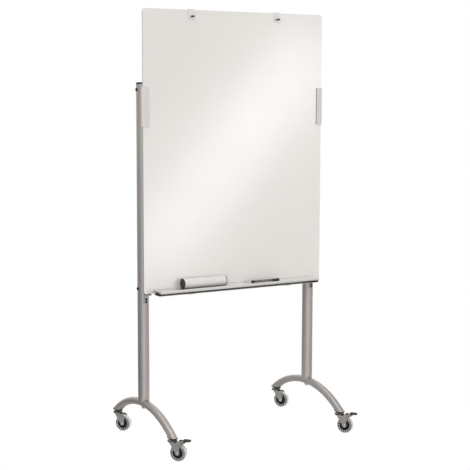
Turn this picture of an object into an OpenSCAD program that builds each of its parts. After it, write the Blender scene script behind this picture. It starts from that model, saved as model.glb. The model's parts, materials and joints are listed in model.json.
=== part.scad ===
// Rolling glass whiteboard: two posts on arched feet, four swivel casters, two of them braked.
// Millimetres, +Z up. The origin is on the floor, midway between the posts. The board faces -Y.

/* [Glass board] */
// Width of the glass panel
board_w = 914.4; // [860:0.1:960]
// Height of the glass panel
board_h = 1219.2; // [1150:0.1:1300]
// Thickness of the glass
glass_t = 6; // [5:0.5:6]
// Radius of the panel's corners
board_corner_r = 14; // [6:1:30]
// Height of the panel's bottom edge above the floor
board_z = 682; // [670:1:760]
// Distance from the posts' axes forward to the front of the glass
board_front = 59; // [57:1:70]

/* [Posts and feet] */
// Outside diameter of the round posts
post_d = 50.8; // [48:0.1:52]
// Wall of the posts
post_wall = 2; // [1.5:0.5:3]
// Height of the posts' upper ends, below their caps
post_top = 1584; // [1580:1:1660]
// Side of the bent foot tube's rounded square section
foot_tube = 33; // [30:1:36]
// Corner radius of the foot tube
foot_corner_r = 12; // [8:0.5:14]
// Wall of the foot tube
foot_wall = 2.5; // [2:0.5:3]
// Bend radius of the foot tube's centreline
foot_bend_r = 460; // [440:5:480]
// Height of the top of the arch
foot_top = 205; // [200:1:210]
// Height at which the foot's ends are cut level
foot_cut_z = 100; // [98:1:104]

/* [Casters] */
// Wheel diameter
wheel_d = 75; // [70:1:76]
// Horizontal offset of the axle from the swivel axis
caster_trail = 29; // [27:1:30]
// Direction in which the wheels trail, from +X
caster_turn = -53.5; // [-180:0.5:180]
// Width of the wheel's tread
tread_w = 24; // [20:1:25]
// Round holes in the rim of each wheel's core
rim_holes = 16; // [10:1:16]

/* [Fittings] */
// Half the length of the pen tray
tray_half = 410; // [380:5:425]
// Height of the tray's floor
tray_floor_z = 697; // [695:1:700]
// Lower and upper ends of the side clamps
clamp_z = [1403, 1570];
// Distance of the left flip-chart hook from the middle
hook_left_x = 222; // [80:1:400]
// Distance of the right flip-chart hook from the middle
hook_right_x = 212; // [80:1:400]
// Diameter of the flip-chart pegs
peg_d = 8; // [7:1:10]
// Length of the pegs' straight part
peg_l = 18; // [12:1:24]

/* [Eraser and marker] */
// Diameter of the eraser
eraser_d = 44; // [36:1:44]
// Left and right ends of the eraser
eraser_x = [-283, -68];
// Diameter of the marker's cap
marker_d = 11.5; // [11:0.5:13]
// Left and right ends of the marker
marker_x = [64, 211];

/* [Hidden] */
$fn = 64;
CORNERS = [
    ["front_left", -1, -1], ["front_right", 1, -1],
    ["back_left", -1, 1], ["back_right", 1, 1]
];
SIDES = [["left", -1], ["right", 1]];

// board and its edges, as distances from the middle or along Y
glass_y = -board_front;              // front face of the glass
glass_back_y = glass_y + glass_t;
board_top = board_z + board_h;
post_x = board_w / 2 - 25.2;
post_r = post_d / 2;
gap = 0.3;                           // space between parts that move past each other
m6_hole_r = 3.3;
m8_hole_r = 4.3;

// the arch: a ring about an axis along X, cut level at both ends
foot_axis_z = foot_top - foot_tube / 2 - foot_bend_r;
cut_rise = foot_cut_z - foot_axis_z;
cut_outer = sqrt(pow(foot_bend_r + foot_tube / 2, 2) - pow(cut_rise, 2));
cut_inner = sqrt(pow(foot_bend_r - foot_tube / 2, 2) - pow(cut_rise, 2));
stem_y = (cut_outer + cut_inner) / 2;
foot_underside = foot_top - foot_tube;
post_bottom = foot_top - 9;
plug_flange_t = 4;
foot_bolt_r = 4.95;
stem_r = 4.95;

// crossbars, clamps and board rests
crossbar_zs = [700, 1560];
crossbar_size = [20, 40];            // depth, height
crossbar_block = 16;                 // solid, tapped end of each crossbar
clamp_screw_zs = [clamp_z[0] + 27, clamp_z[1] - 25];
liner_t = 1;
clamp_wall = 2.5;
clamp_outer_x = board_w / 2 + liner_t + clamp_wall;
clamp_front_lap = 30;                // how far the clamp's front lip covers the glass
clamp_back_y = glass_back_y + liner_t + clamp_wall;
rest_t = 4;                          // board rest's plate
rest_pad_t = 3;
rest_bolt_zs = [board_z - 38.5, board_z - 27];
rest_w = 20;
rest_drop = 46;                      // length of the bracket's leg below the board

// tray section, along Y and Z
tray_back_y = glass_y - 1.5;
tray_front_y = glass_y - 69;
tray_bottom_z = tray_floor_z - 20;
tray_t = 2;
tray_arm_x = 250;
tray_arm_w = 30;
tray_arm_t = 3;
tray_arm_rise = 41;                  // height of the arms' legs on the crossbar
tray_screw_y = tray_front_y + 30;

// caster heights
wheel_r = wheel_d / 2;
crown_z = 80;                        // underside of the fork's crown plate
crown_t = 3;
race_z = 88;                         // top of the fork's race
race_top_z = 92.5;                   // top of the fixed upper race
shield_r = 21.7;
fork_gap = 29;                       // between the fork's cheeks
cheek_t = 2.5;
king_r = 6;
axle_r = 4;
brake_pivot = [40, 82];              // along the trail, height
brake_pin_r = 2.5;
running = 0.06;                      // radial clearance of a turning fit
core_r = 24;
core_half = 6;                       // half the thickness of the core's disc
eyelet_half = 10.2;                  // half the width of the eyelets round the disc
eyelet_r = 6.2;
rim_hole_r = 2.9;
rim_circle_r = 27.4;
tread_skin = 0.6;                    // clear skin over the eyelets' ends
pedal_size = [33, 21, 7.5];
pedal_end = 84.7;                    // far end of the pedal from the swivel axis
pedal_z = 89;

hook_w = 30;
hook_t = 2.5;
hook_peg_z = board_top - 28;
hook_drop = [38, 26];                // front and back legs below the glass's top
peg_neck_r = 3;                      // end of the peg that is riveted into the hook

eraser_y = glass_y - 24;
eraser_z = tray_floor_z + gap + eraser_d / 2;
eraser_flat_z = eraser_z - 9.6;      // parting plane between barrel and felt
eraser_cap_t = 4;
marker_y = glass_y - 36;
marker_z = tray_floor_z + gap + marker_d / 2;
marker_barrel_r = 4.9;
marker_neck_r = 4.1;
marker_plug_l = 14;
marker_cap_l = 38;
marker_neck_l = 12;
marker_nib_l = 7;

// square with rounded corners, centred
module round_square(size, r) {
    square([size[0] - 2 * r, size[1]], center = true);
    square([size[0], size[1] - 2 * r], center = true);
    for (x = [-1, 1]) for (y = [-1, 1])
        translate([x * (size[0] / 2 - r), y * (size[1] / 2 - r)]) circle(r);
}

// cylinder along X from x0 to x1
module rod_x(x0, x1, r) { translate([x0, 0, 0]) rotate([0, 90, 0]) cylinder(h = x1 - x0, r = r); }

// cylinder along Y from y0 to y1
module rod_y(y0, y1, r) { translate([0, y1, 0]) rotate([90, 0, 0]) cylinder(h = y1 - y0, r = r); }

// (Y, Z) outline drawn along X from x0 to x1
module along_x(x0, x1) { translate([x0, 0, 0]) rotate([90, 0, 90]) linear_extrude(x1 - x0) children(); }

// (X, Z) outline drawn along Y from y0 to y1
module along_y(y0, y1) { translate([0, y1, 0]) rotate([90, 0, 0]) linear_extrude(y1 - y0) children(); }

module at_side(side) { translate([side * post_x, 0, 0]) children(); }

// a fitting drawn for the right side, mirrored onto the left
module sided(side) { if (side > 0) children(); else mirror([1, 0, 0]) children(); }

// caster frame: X along the trail, Y along the axle
module at_caster(c) {
    translate([c[1] * post_x, c[2] * stem_y, 0]) rotate([0, 0, caster_turn]) children();
}

// button head: a short cylinder with a coned crown, along +Z
module button_head(r, h) {
    cylinder(h = h * 0.5, r = r);
    translate([0, 0, h * 0.5]) cylinder(h = h * 0.5, r1 = r, r2 = r * 0.65);
}

// ---------- board ----------

module glass_board() {
    color("whitesmoke")
    translate([0, 0, board_z + board_h / 2]) along_y(glass_y, glass_back_y)
        round_square([board_w, board_h], board_corner_r);
}

// ---------- frame ----------

module foot_ring(size, r) {
    translate([0, 0, foot_axis_z]) rotate([0, 90, 0])
        rotate_extrude($fn = 720) translate([foot_bend_r, 0]) round_square([size, size], r);
}

module post(side) {
    color("silver") at_side(side) difference() {
        translate([0, 0, post_bottom]) cylinder(h = post_top - post_bottom, r = post_r);
        translate([0, 0, post_bottom - 1]) cylinder(h = post_top - post_bottom + 2, r = post_r - post_wall);
        foot_ring(foot_tube, foot_corner_r);
        for (z = crossbar_zs) translate([0, 0, z]) rod_x(-post_r - 1, post_r + 1, m8_hole_r);
        for (z = clamp_screw_zs) translate([0, 0, z]) rod_y(-post_r - 1, post_r + 1, m6_hole_r);
        for (z = rest_bolt_zs) translate([0, 0, z]) rod_y(-post_r - 1, 0, m6_hole_r);
    }
}

module post_caps() {
    color("black") for (s = SIDES) at_side(s[1]) {
        translate([0, 0, post_top - 12]) cylinder(h = 12, r = post_r - post_wall - 0.1);
        translate([0, 0, post_top]) cylinder(h = 5, r = post_r + 0.4);
        translate([0, 0, post_top + 5]) cylinder(h = 3, r1 = post_r + 0.4, r2 = post_r - 3);
    }
}

module foot_arch(side) {
    inner = foot_tube - 2 * foot_wall;
    color("silver") at_side(side) difference() {
        intersection() {
            difference() {
                foot_ring(foot_tube, foot_corner_r);
                foot_ring(inner, foot_corner_r - foot_wall);
            }
            translate([-foot_tube, -foot_bend_r, foot_cut_z])
                cube([2 * foot_tube, 2 * foot_bend_r, foot_top]);
        }
        translate([0, 0, foot_underside - 5]) cylinder(h = foot_tube + 10, r = foot_bolt_r + 0.35);
    }
}

module foot_end_plugs() {
    color("black") for (c = CORNERS) at_side(c[1]) difference() {
        union() {
            intersection() {
                foot_ring(foot_tube - 2 * foot_wall - 0.2, foot_corner_r - foot_wall - 0.1);
                translate([-foot_tube / 2, c[2] * stem_y - 45, foot_cut_z]) cube([foot_tube, 90, 16]);
            }
            translate([0, c[2] * stem_y, foot_cut_z - plug_flange_t]) linear_extrude(plug_flange_t)
                round_square([foot_tube, cut_outer - cut_inner], foot_corner_r);
        }
        translate([0, c[2] * stem_y, 0]) cylinder(h = foot_cut_z + 14, r = 8);
    }
}

module stem_inserts() {
    color("goldenrod") for (c = CORNERS)
        translate([c[1] * post_x, c[2] * stem_y, foot_cut_z - 3]) difference() {
        cylinder(h = 16, r = 7.9);
        translate([0, 0, -1]) cylinder(h = 18, r = 5);
    }
}

module post_foot_nuts() {
    color("gray") for (s = SIDES) at_side(s[1]) translate([0, 0, foot_top + 2]) difference() {
        cylinder(h = 9, r = post_r - post_wall - 0.1);
        translate([0, 0, -1]) cylinder(h = 11, r = 5);
    }
}

module foot_bolts() {
    washer_z = foot_underside - 2.3;
    color("gray") for (s = SIDES) at_side(s[1]) {
        translate([0, 0, washer_z]) cylinder(h = 2, r = 11);
        translate([0, 0, washer_z - 6.4]) cylinder(h = 6.4, r = 17 / sqrt(3), $fn = 6);
        translate([0, 0, washer_z]) cylinder(h = foot_top + 11 - washer_z, r = foot_bolt_r);
    }
}

module crossbar(z) {
    reach = post_x - post_r - crossbar_block;
    color("silver") translate([0, 0, z]) difference() {
        cube([2 * post_x, crossbar_size[0], crossbar_size[1]], center = true);
        cube([2 * reach, crossbar_size[0] - 4, crossbar_size[1] - 4], center = true);
        for (s = SIDES) {
            translate([s[1] * post_x, 0, -crossbar_size[1]])
                cylinder(h = 2 * crossbar_size[1], r = post_r + 0.1);
            rod_x(s[1] > 0 ? reach - 1 : -post_x, s[1] > 0 ? post_x : 1 - reach, 4);
        }
    }
}

module crossbar_bolts() {
    color("black") for (z = crossbar_zs) for (s = SIDES)
        sided(s[1]) translate([post_x, 0, z]) {
            rod_x(-post_r - crossbar_block + 2, post_r + 0.1, 3.9);
            translate([post_r + 0.1, 0, 0]) rotate([0, 90, 0]) button_head(7, 5);
        }
}

// ---------- side clamps ----------

module clamp(side) {
    height = clamp_z[1] - clamp_z[0];
    front_y = glass_y - liner_t - clamp_wall;
    color("lightgray") sided(side) difference() {
        translate([0, 0, clamp_z[0]]) union() {
            translate([clamp_outer_x - clamp_front_lap, front_y, 0])
                cube([clamp_front_lap, clamp_wall, height]);
            translate([clamp_outer_x - clamp_wall, front_y, 0])
                cube([clamp_wall, clamp_back_y - front_y, height]);
            translate([post_x - 12, clamp_back_y - clamp_wall, 0])
                cube([clamp_outer_x - post_x + 12, clamp_wall, height]);
        }
        for (z = clamp_screw_zs) translate([post_x, 0, z]) rod_y(clamp_back_y - 5, clamp_back_y + 1, 3);
    }
}

module clamp_liners() {
    x0 = clamp_outer_x - clamp_front_lap - 1.5;
    x1 = clamp_outer_x - clamp_wall;
    color("dimgray") for (s = SIDES) sided(s[1]) translate([0, 0, clamp_z[0] + 1])
        linear_extrude(clamp_z[1] - clamp_z[0] - 2) {
            translate([x0, glass_y - liner_t]) square([x1 - x0, liner_t]);
            translate([x0, glass_back_y]) square([x1 - x0, liner_t]);
            translate([x1 - liner_t, glass_y - liner_t]) square([liner_t, glass_t + 2 * liner_t]);
        }
}

module clamp_spacers() {
    color("silver") for (s = SIDES) for (z = clamp_screw_zs) at_side(s[1]) difference() {
        translate([0, 0, z]) rod_y(clamp_back_y, -post_r + 8, 11);
        translate([0, 0, z - 12]) cylinder(h = 24, r = post_r + 0.05);
        translate([0, 0, z]) rod_y(clamp_back_y - 1, 0, m6_hole_r);
    }
}

module clamp_screws() {
    color("gray") for (s = SIDES) for (z = clamp_screw_zs) at_side(s[1]) translate([0, 0, z]) {
        rod_y(clamp_back_y - clamp_wall + 0.3, post_r + 0.1, 2.95);
        translate([0, post_r + 0.1, 0]) rotate([-90, 0, 0]) button_head(6, 4);
    }
}

// ---------- rests under the board ----------

module board_rest_brackets() {
    top = board_z - rest_pad_t;
    color("silver") for (s = SIDES) at_side(s[1]) difference() {
        union() {
            translate([-rest_w / 2, -post_r - rest_t - 0.1, board_z - rest_drop])
                cube([rest_w, rest_t, rest_drop - rest_pad_t]);
            translate([-rest_w / 2, glass_y - 2, top - rest_t])
                cube([rest_w, -post_r - 0.1 - glass_y + 2, rest_t]);
        }
        for (z = rest_bolt_zs) translate([0, 0, z]) rod_y(-post_r - 10, 0, m6_hole_r);
    }
}

module board_rest_pads() {
    color("black") for (s = SIDES) at_side(s[1])
        translate([-rest_w / 2, glass_y - 1, board_z - rest_pad_t]) cube([rest_w, glass_t + 2, rest_pad_t]);
}

module board_rest_bolts() {
    face_y = -post_r - rest_t - 0.1;
    color("black") for (s = SIDES) for (z = rest_bolt_zs) at_side(s[1]) translate([0, 0, z]) {
        rod_y(face_y, -post_r + 6, 3);
        translate([0, face_y, 0]) rotate([90, 0, 0]) button_head(5.2, 4);
    }
}

// ---------- pen tray ----------

// floor with a thick rolled nose, a slanted web and a bottom flange, open to the front
module tray_section() {
    f = tray_floor_z;
    n = tray_front_y;
    b = tray_bottom_z;
    polygon([
        [tray_back_y, f], [n + 9, f], [n + 7, f + 3], [n + 3, f + 3], [n + 0.9, f + 2.1], [n, f],
        [n, f - 5], [n + 0.9, f - 7.1], [n + 3, f - 8], [n + 9, f - 9],
        [n + 39, f - 2.7], [n + 61.3, b + tray_t], [n + 9, b + tray_t], [n + 9, b],
        [n + 64.5, b], [n + 43, f - tray_t - 0.2], [tray_back_y, f - tray_t - 0.2]
    ]);
}

module tray() { color("gainsboro") along_x(-tray_half, tray_half) tray_section(); }

module tray_end_caps() {
    n = tray_front_y;
    b = tray_bottom_z + tray_t + 0.2;
    color("black") for (s = SIDES) sided(s[1]) along_x(tray_half - 8, tray_half + 3)
        polygon([[n + 60, b], [n + 9.2, b], [n + 9.2, tray_floor_z - 9.3], [n + 38.6, tray_floor_z - 3.1]]);
}

module tray_arms() {
    wall_y = -crossbar_size[0] / 2;
    arm_front_y = tray_front_y + 16;
    color("silver") for (s = SIDES) translate([s[1] * tray_arm_x - tray_arm_w / 2, 0, 0]) difference() {
        union() {
            translate([0, wall_y - tray_arm_t, tray_bottom_z - tray_arm_t])
                cube([tray_arm_w, tray_arm_t, tray_arm_rise]);
            translate([0, arm_front_y, tray_bottom_z - tray_arm_t])
                cube([tray_arm_w, wall_y - arm_front_y, tray_arm_t]);
        }
        for (x = [8, tray_arm_w - 8]) {
            translate([x, 0, crossbar_zs[0]]) rod_y(wall_y - 5, wall_y + 1, 2.6);
            translate([x, tray_screw_y, tray_bottom_z - 5]) cylinder(h = 6, r = 2.6);
        }
    }
}

module tray_screws() {
    wall_y = -crossbar_size[0] / 2;
    color("gray") for (s = SIDES) for (x = [8, tray_arm_w - 8])
        translate([s[1] * tray_arm_x - tray_arm_w / 2 + x, 0, 0]) {
            translate([0, wall_y - tray_arm_t, crossbar_zs[0]]) rotate([90, 0, 0]) button_head(4.5, 3);
            translate([0, 0, crossbar_zs[0]]) rod_y(wall_y - tray_arm_t, wall_y, 2.5);
            translate([0, tray_screw_y, tray_bottom_z - tray_arm_t]) rotate([180, 0, 0]) button_head(4.5, 3);
            translate([0, tray_screw_y, tray_bottom_z - tray_arm_t]) cylinder(h = tray_arm_t, r = 2.5);
        }
}

// ---------- casters ----------

// fixed half: threaded stem, nut, upper race and the king pin with its rivet head
module caster_stems() {
    color("silver") for (c = CORNERS) at_caster(c) {
        translate([0, 0, foot_cut_z - plug_flange_t]) cylinder(h = 15, r = stem_r);
        translate([0, 0, race_top_z])
            cylinder(h = foot_cut_z - plug_flange_t - race_top_z, r = 17 / sqrt(3), $fn = 6);
        translate([0, 0, race_z + gap]) cylinder(h = 2.2, r = shield_r + 0.3);
        translate([0, 0, race_z + gap + 2.2]) cylinder(h = 2, r1 = shield_r + 0.3, r2 = shield_r - 5);
        translate([0, 0, crown_z - gap]) cylinder(h = race_z - crown_z + 2 * gap, r = king_r);
        translate([0, 0, crown_z - 4]) cylinder(h = 4 - gap, r = 9);
    }
}

// skirts that hang from the upper races and keep dust out of the balls
module caster_dust_shields() {
    color("black") for (c = CORNERS) at_caster(c)
        translate([0, 0, crown_z + crown_t + 0.4]) difference() {
            cylinder(h = race_z + gap - crown_z - crown_t - 0.4, r = shield_r);
            translate([0, 0, -1]) cylinder(h = 10, r = shield_r - 1.6);
        }
}

// point where a line from p touches the circle about c, on the clockwise side
function touch(p, c, r) =
    let (d = c - p, l = norm(d), a = atan2(d[1], d[0]) - asin(r / l), t = sqrt(l * l - r * r))
    p + t * [cos(a), sin(a)];

// side of a fork; on a braked one it runs on into an ear that carries the brake's pivot
module fork_cheek(braked) {
    hub = [caster_trail, wheel_r];
    boss = 10;
    shoulder = braked
        ? [[hub[0] + boss, 70], [45.5, 77], [45.5, 88], [43.5, 90], [27, 90], [24.5, crown_z + crown_t]]
        : [[hub[0] + boss, 62], [33, 79], [29, crown_z + crown_t]];
    difference() {
        union() {
            polygon(concat(
                [[-6, crown_z + crown_t], [-6, crown_z - 2], [0, 68], touch([0, 68], hub, boss), hub,
                [hub[0] + boss, hub[1]]], shoulder
            ));
            translate(hub) circle(boss);
        }
        translate(hub) circle(axle_r + 0.1);
        if (braked) translate(brake_pivot) circle(brake_pin_r + 0.05);
    }
}

module fork(c) {
    color("silver") at_caster(c) difference() {
        union() {
            translate([0, 0, crown_z]) linear_extrude(crown_t) {
                circle(20);
                translate([0, -fork_gap / 2 - cheek_t]) square([30, fork_gap + 2 * cheek_t]);
            }
            translate([0, 0, crown_z]) cylinder(h = race_z - crown_z, r = shield_r - 1.6 - gap);
            for (a = [-fork_gap / 2 - cheek_t, fork_gap / 2]) along_y(a, a + cheek_t) fork_cheek(c[2] < 0);
        }
        translate([0, 0, crown_z - 1]) cylinder(h = 20, r = king_r + running);
    }
}

module wheel_axle(c) {
    outer = fork_gap / 2 + cheek_t;
    color("silver") at_caster(c) translate([caster_trail, 0, wheel_r]) {
        rod_y(-outer, outer, axle_r);
        difference() {
            rod_y(-outer - 3, -outer, 6.5);
            rod_y(-outer - 4, -outer - 1, 2.6);
        }
        translate([0, outer + 5, 0]) rotate([90, 0, 0]) cylinder(h = 5, r = 13 / sqrt(3), $fn = 6);
    }
}

// a circle at each place round the rim
module rim_circles(r) {
    for (i = [0 : rim_holes - 1])
        rotate(i * 360 / rim_holes) translate([rim_circle_r, 0]) circle(r);
}

// the core's disc and, at its edge, a ring of overlapping eyelets
module core_rim() {
    along_y(-core_half, core_half) circle(core_r);
    along_y(-eyelet_half, eyelet_half) difference() {
        rim_circles(eyelet_r);
        rim_circles(rim_hole_r);
    }
}

module wheel_core(c) {
    half = fork_gap / 2 - 0.5;
    color("black") at_caster(c) translate([caster_trail, 0, wheel_r]) difference() {
        union() {
            core_rim();
            rod_y(-half, half, 10);
        }
        rod_y(-half - 1, half + 1, axle_r + running);
    }
}

// clear tread, cast round the eyelets and through their holes
module wheel_tread(c) {
    w = tread_w / 2;
    side = eyelet_half + tread_skin;
    inner = rim_circle_r - eyelet_r + 0.8;
    color("gainsboro", 0.5) at_caster(c) translate([caster_trail, 0, wheel_r]) difference() {
        rotate([90, 0, 0]) rotate_extrude() polygon([
            [inner, -side], [wheel_r - 3.5, -side], [wheel_r - 3.1, -w + 0.7], [wheel_r - 2.4, -w],
            [wheel_r - 1.2, -w + 3], [wheel_r, -w + 7], [wheel_r, w - 7], [wheel_r - 1.2, w - 3],
            [wheel_r - 2.4, w], [wheel_r - 3.1, w - 0.7], [wheel_r - 3.5, side], [inner, side]
        ]);
        core_rim();
    }
}

// pressed arm of the brake: two cheeks, a top plate and the shoe that bears on the tread
module brake_arm(c) {
    color("silver") at_caster(c) difference() {
        union() {
            for (a = [-12, 10]) along_y(a, a + 2) union() {
                polygon([[40, 76.5], [48, 73.5], [56, 79], [66, 84], [66, 89], [46, 89], [40, 87.5]]);
                translate(brake_pivot) circle(5.5);
            }
            translate([46, -12, pedal_z - 3]) cube([20, 24, 3]);
            translate([48, 0, 76]) rod_y(-12, 12, 2.5);
        }
        translate([brake_pivot[0], 0, brake_pivot[1]]) rod_y(-13, 13, brake_pin_r + running);
    }
}

module brake_pedal(c) {
    color("black") at_caster(c) {
        translate([pedal_end - pedal_size[0] / 2, 0, pedal_z]) linear_extrude(pedal_size[2])
            round_square([pedal_size[0], pedal_size[1]], 5);
        for (i = [0 : 3])
            translate([pedal_end - 25.5 + 6 * i, -7, pedal_z + pedal_size[2]]) cube([2.2, 14, 1]);
    }
}

module brake_pin(c) {
    color("silver") at_caster(c) translate([brake_pivot[0], 0, brake_pivot[1]])
        rod_y(-18.5, 18.5, brake_pin_r);
}

// ---------- flip-chart hooks ----------

module hook(x) {
    front = glass_y - gap - hook_t;
    back = glass_back_y + gap;
    top = board_top + gap;
    color("silver") translate([x - hook_w / 2, 0, 0]) difference() {
        union() {
            translate([0, front, board_top - hook_drop[0]]) cube([hook_w, hook_t, hook_drop[0] + 5]);
            translate([0, back, board_top - hook_drop[1]]) cube([hook_w, hook_t, hook_drop[1] + 5]);
            translate([0, front, top]) cube([hook_w, back + hook_t - front, 5 - gap]);
        }
        translate([hook_w / 2, 0, hook_peg_z]) rod_y(front - 1, front + hook_t + 1, peg_neck_r + 0.05);
    }
}

module hook_peg(x) {
    front = glass_y - gap - hook_t;
    color("black") translate([x, 0, hook_peg_z]) {
        rod_y(front - peg_l, front - gap, peg_d / 2);
        rod_y(front - gap, front + hook_t, peg_neck_r);
        translate([0, front - peg_l, 0]) sphere(peg_d / 2);
    }
}

// ---------- eraser and marker ----------

module eraser_rod() {
    translate([0, eraser_y, eraser_z])
        rod_x(eraser_x[0] + eraser_cap_t, eraser_x[1] - eraser_cap_t, eraser_d / 2);
}

// block under the plane where the barrel and the felt meet
module eraser_lower_block() {
    translate([eraser_x[0], eraser_y - eraser_d, eraser_z - eraser_d])
        cube([eraser_x[1] - eraser_x[0], 2 * eraser_d, eraser_d - eraser_z + eraser_flat_z]);
}

module eraser_barrel() {
    color("silver") difference() {
        eraser_rod();
        eraser_lower_block();
    }
}

module eraser_felt() {
    color("beige") intersection() {
        eraser_rod();
        eraser_lower_block();
    }
}

module eraser_end_caps() {
    color("black") translate([0, eraser_y, eraser_z]) for (x = [eraser_x[0], eraser_x[1] - eraser_cap_t])
        rod_x(x, x + eraser_cap_t, eraser_d / 2);
}

module at_marker() { translate([0, marker_y, marker_z]) children(); }

marker_joint_x = marker_x[1] - marker_cap_l;

module marker_barrel() {
    color("dimgray") at_marker() {
        rod_x(marker_x[0] + marker_plug_l, marker_joint_x, marker_barrel_r);
        rod_x(marker_joint_x, marker_joint_x + marker_neck_l, marker_neck_r);
    }
}

module marker_tip() {
    x = marker_joint_x + marker_neck_l;
    color("black") at_marker() {
        rod_x(x, x + marker_nib_l - 2, 2.2);
        translate([x + marker_nib_l - 2, 0, 0]) rotate([0, 90, 0]) cylinder(h = 2, r1 = 2.2, r2 = 1);
    }
}

module marker_plug() {
    color("black") at_marker() {
        rod_x(marker_x[0] + 1, marker_x[0] + marker_plug_l, marker_d / 2);
        translate([marker_x[0], 0, 0]) rotate([0, 90, 0])
            cylinder(h = 1, r1 = marker_d / 2 - 1, r2 = marker_d / 2);
    }
}

module marker_cap() {
    color("black") at_marker() difference() {
        union() {
            rod_x(marker_joint_x + gap, marker_x[1] - 1, marker_d / 2);
            translate([marker_x[1] - 1, 0, 0]) rotate([0, 90, 0])
                cylinder(h = 1, r1 = marker_d / 2, r2 = marker_d / 2 - 1);
        }
        rod_x(marker_joint_x - 1, marker_x[1] - 6, marker_neck_r + 0.35);
    }
}

// ---------- the nodes ----------

glass_board();
post_caps();
foot_end_plugs();
stem_inserts();
post_foot_nuts();
foot_bolts();
crossbar(crossbar_zs[1]);  // crossbar_upper
crossbar(crossbar_zs[0]);  // crossbar_lower
crossbar_bolts();
clamp_liners();
clamp_spacers();
clamp_screws();
board_rest_brackets();
board_rest_pads();
board_rest_bolts();
tray();
tray_end_caps();
tray_arms();
tray_screws();
caster_stems();
caster_dust_shields();
hook(-hook_left_x);  // hook_left
hook(hook_right_x);  // hook_right
hook_peg(-hook_left_x);  // hook_peg_left
hook_peg(hook_right_x);  // hook_peg_right
eraser_barrel();
eraser_felt();
eraser_end_caps();
marker_barrel();
marker_tip();
marker_plug();
marker_cap();
for (s = SIDES) {
    post(s[1]);
    foot_arch(s[1]);
    clamp(s[1]);
}
for (c = CORNERS) {
    fork(c);
    wheel_axle(c);
    wheel_core(c);
    wheel_tread(c);
}
for (i = [0, 1]) {
    brake_arm(CORNERS[i]);
    brake_pedal(CORNERS[i]);
    brake_pin(CORNERS[i]);
}
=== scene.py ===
"""Rolling glass whiteboard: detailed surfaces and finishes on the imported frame. Metres, +Z up."""

import json
import math

import bmesh
import bpy
import numpy as np
from bpy.props import FloatProperty, FloatVectorProperty, IntProperty, PointerProperty
from bpy.types import Operator, Panel, PropertyGroup
from mathutils import Matrix, Quaternion, Vector


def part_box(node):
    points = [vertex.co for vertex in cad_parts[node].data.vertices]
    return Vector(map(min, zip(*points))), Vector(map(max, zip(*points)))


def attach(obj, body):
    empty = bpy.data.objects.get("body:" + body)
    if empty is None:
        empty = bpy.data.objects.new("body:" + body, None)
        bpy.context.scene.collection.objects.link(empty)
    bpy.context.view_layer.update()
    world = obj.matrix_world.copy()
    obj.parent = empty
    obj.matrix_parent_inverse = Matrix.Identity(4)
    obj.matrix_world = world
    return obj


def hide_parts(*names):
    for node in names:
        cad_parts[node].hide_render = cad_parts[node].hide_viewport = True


bl_info = {
    "name": "Rolling Glass Whiteboard",
    "version": (1, 0, 0),
    "blender": (4, 5, 0),
    "location": "View3D > Sidebar > Whiteboard",
    "description": "Builds the finished surfaces of a mobile glass whiteboard on its frame",
    "category": "Add Mesh",
}

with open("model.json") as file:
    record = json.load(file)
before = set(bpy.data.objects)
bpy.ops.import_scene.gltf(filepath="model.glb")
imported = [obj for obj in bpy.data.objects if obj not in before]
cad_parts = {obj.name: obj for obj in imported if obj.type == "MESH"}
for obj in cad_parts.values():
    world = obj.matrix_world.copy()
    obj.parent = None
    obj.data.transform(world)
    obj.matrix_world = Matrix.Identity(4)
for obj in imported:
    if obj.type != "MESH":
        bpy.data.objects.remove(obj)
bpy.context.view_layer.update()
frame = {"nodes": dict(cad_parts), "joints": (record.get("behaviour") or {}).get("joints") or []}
JOINTS = {joint["name"]: joint for joint in frame["joints"]}
SIDES = {"left": -1, "right": 1}
CORNERS = ("front_left", "front_right", "back_left", "back_right")
MM = 0.001
FOOT_CORNER = 12 * MM  # rounding of the bent tube's section
CEILING = 0.6  # strength of the surround overhead
WALL = 1.1  # strength that the surround takes up above the floor
# strength of the studio for each compass direction, in degrees from +X towards +Y
ROOM = {-180: 0.10, -152: 0.24, -128: 0.85, -100: 0.95, -72: 0.62, -42: 0.40, 0: 0.42, 28: 1.0, 46: 2.0,
        62: 2.4, 88: 0.7, 106: 0.12, 150: 0.05, 180: 0.10}


# ---------------------------------------------------------------- sizes read from the frame


def low(node):
    """Lowest corner of a frame part."""
    return np.array(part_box(node)[0])


def high(node):
    """Highest corner of a frame part."""
    return np.array(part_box(node)[1])


POST_R = (high("post_left") - low("post_left"))[0] / 2
POST_X = (low("post_right") + high("post_right"))[0] / 2


# ---------------------------------------------------------------- outlines and profiles


def mm(values):
    """Millimetres to metres."""
    return np.array(values, float) * MM


def arc(centre, radius, start, stop, steps=8):
    """Points on a circle about centre, evenly turned from start to stop degrees."""
    turn = np.radians(np.linspace(start, stop, steps + 1))
    return np.asarray(centre) + radius * np.stack([np.cos(turn), np.sin(turn)], -1)


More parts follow.
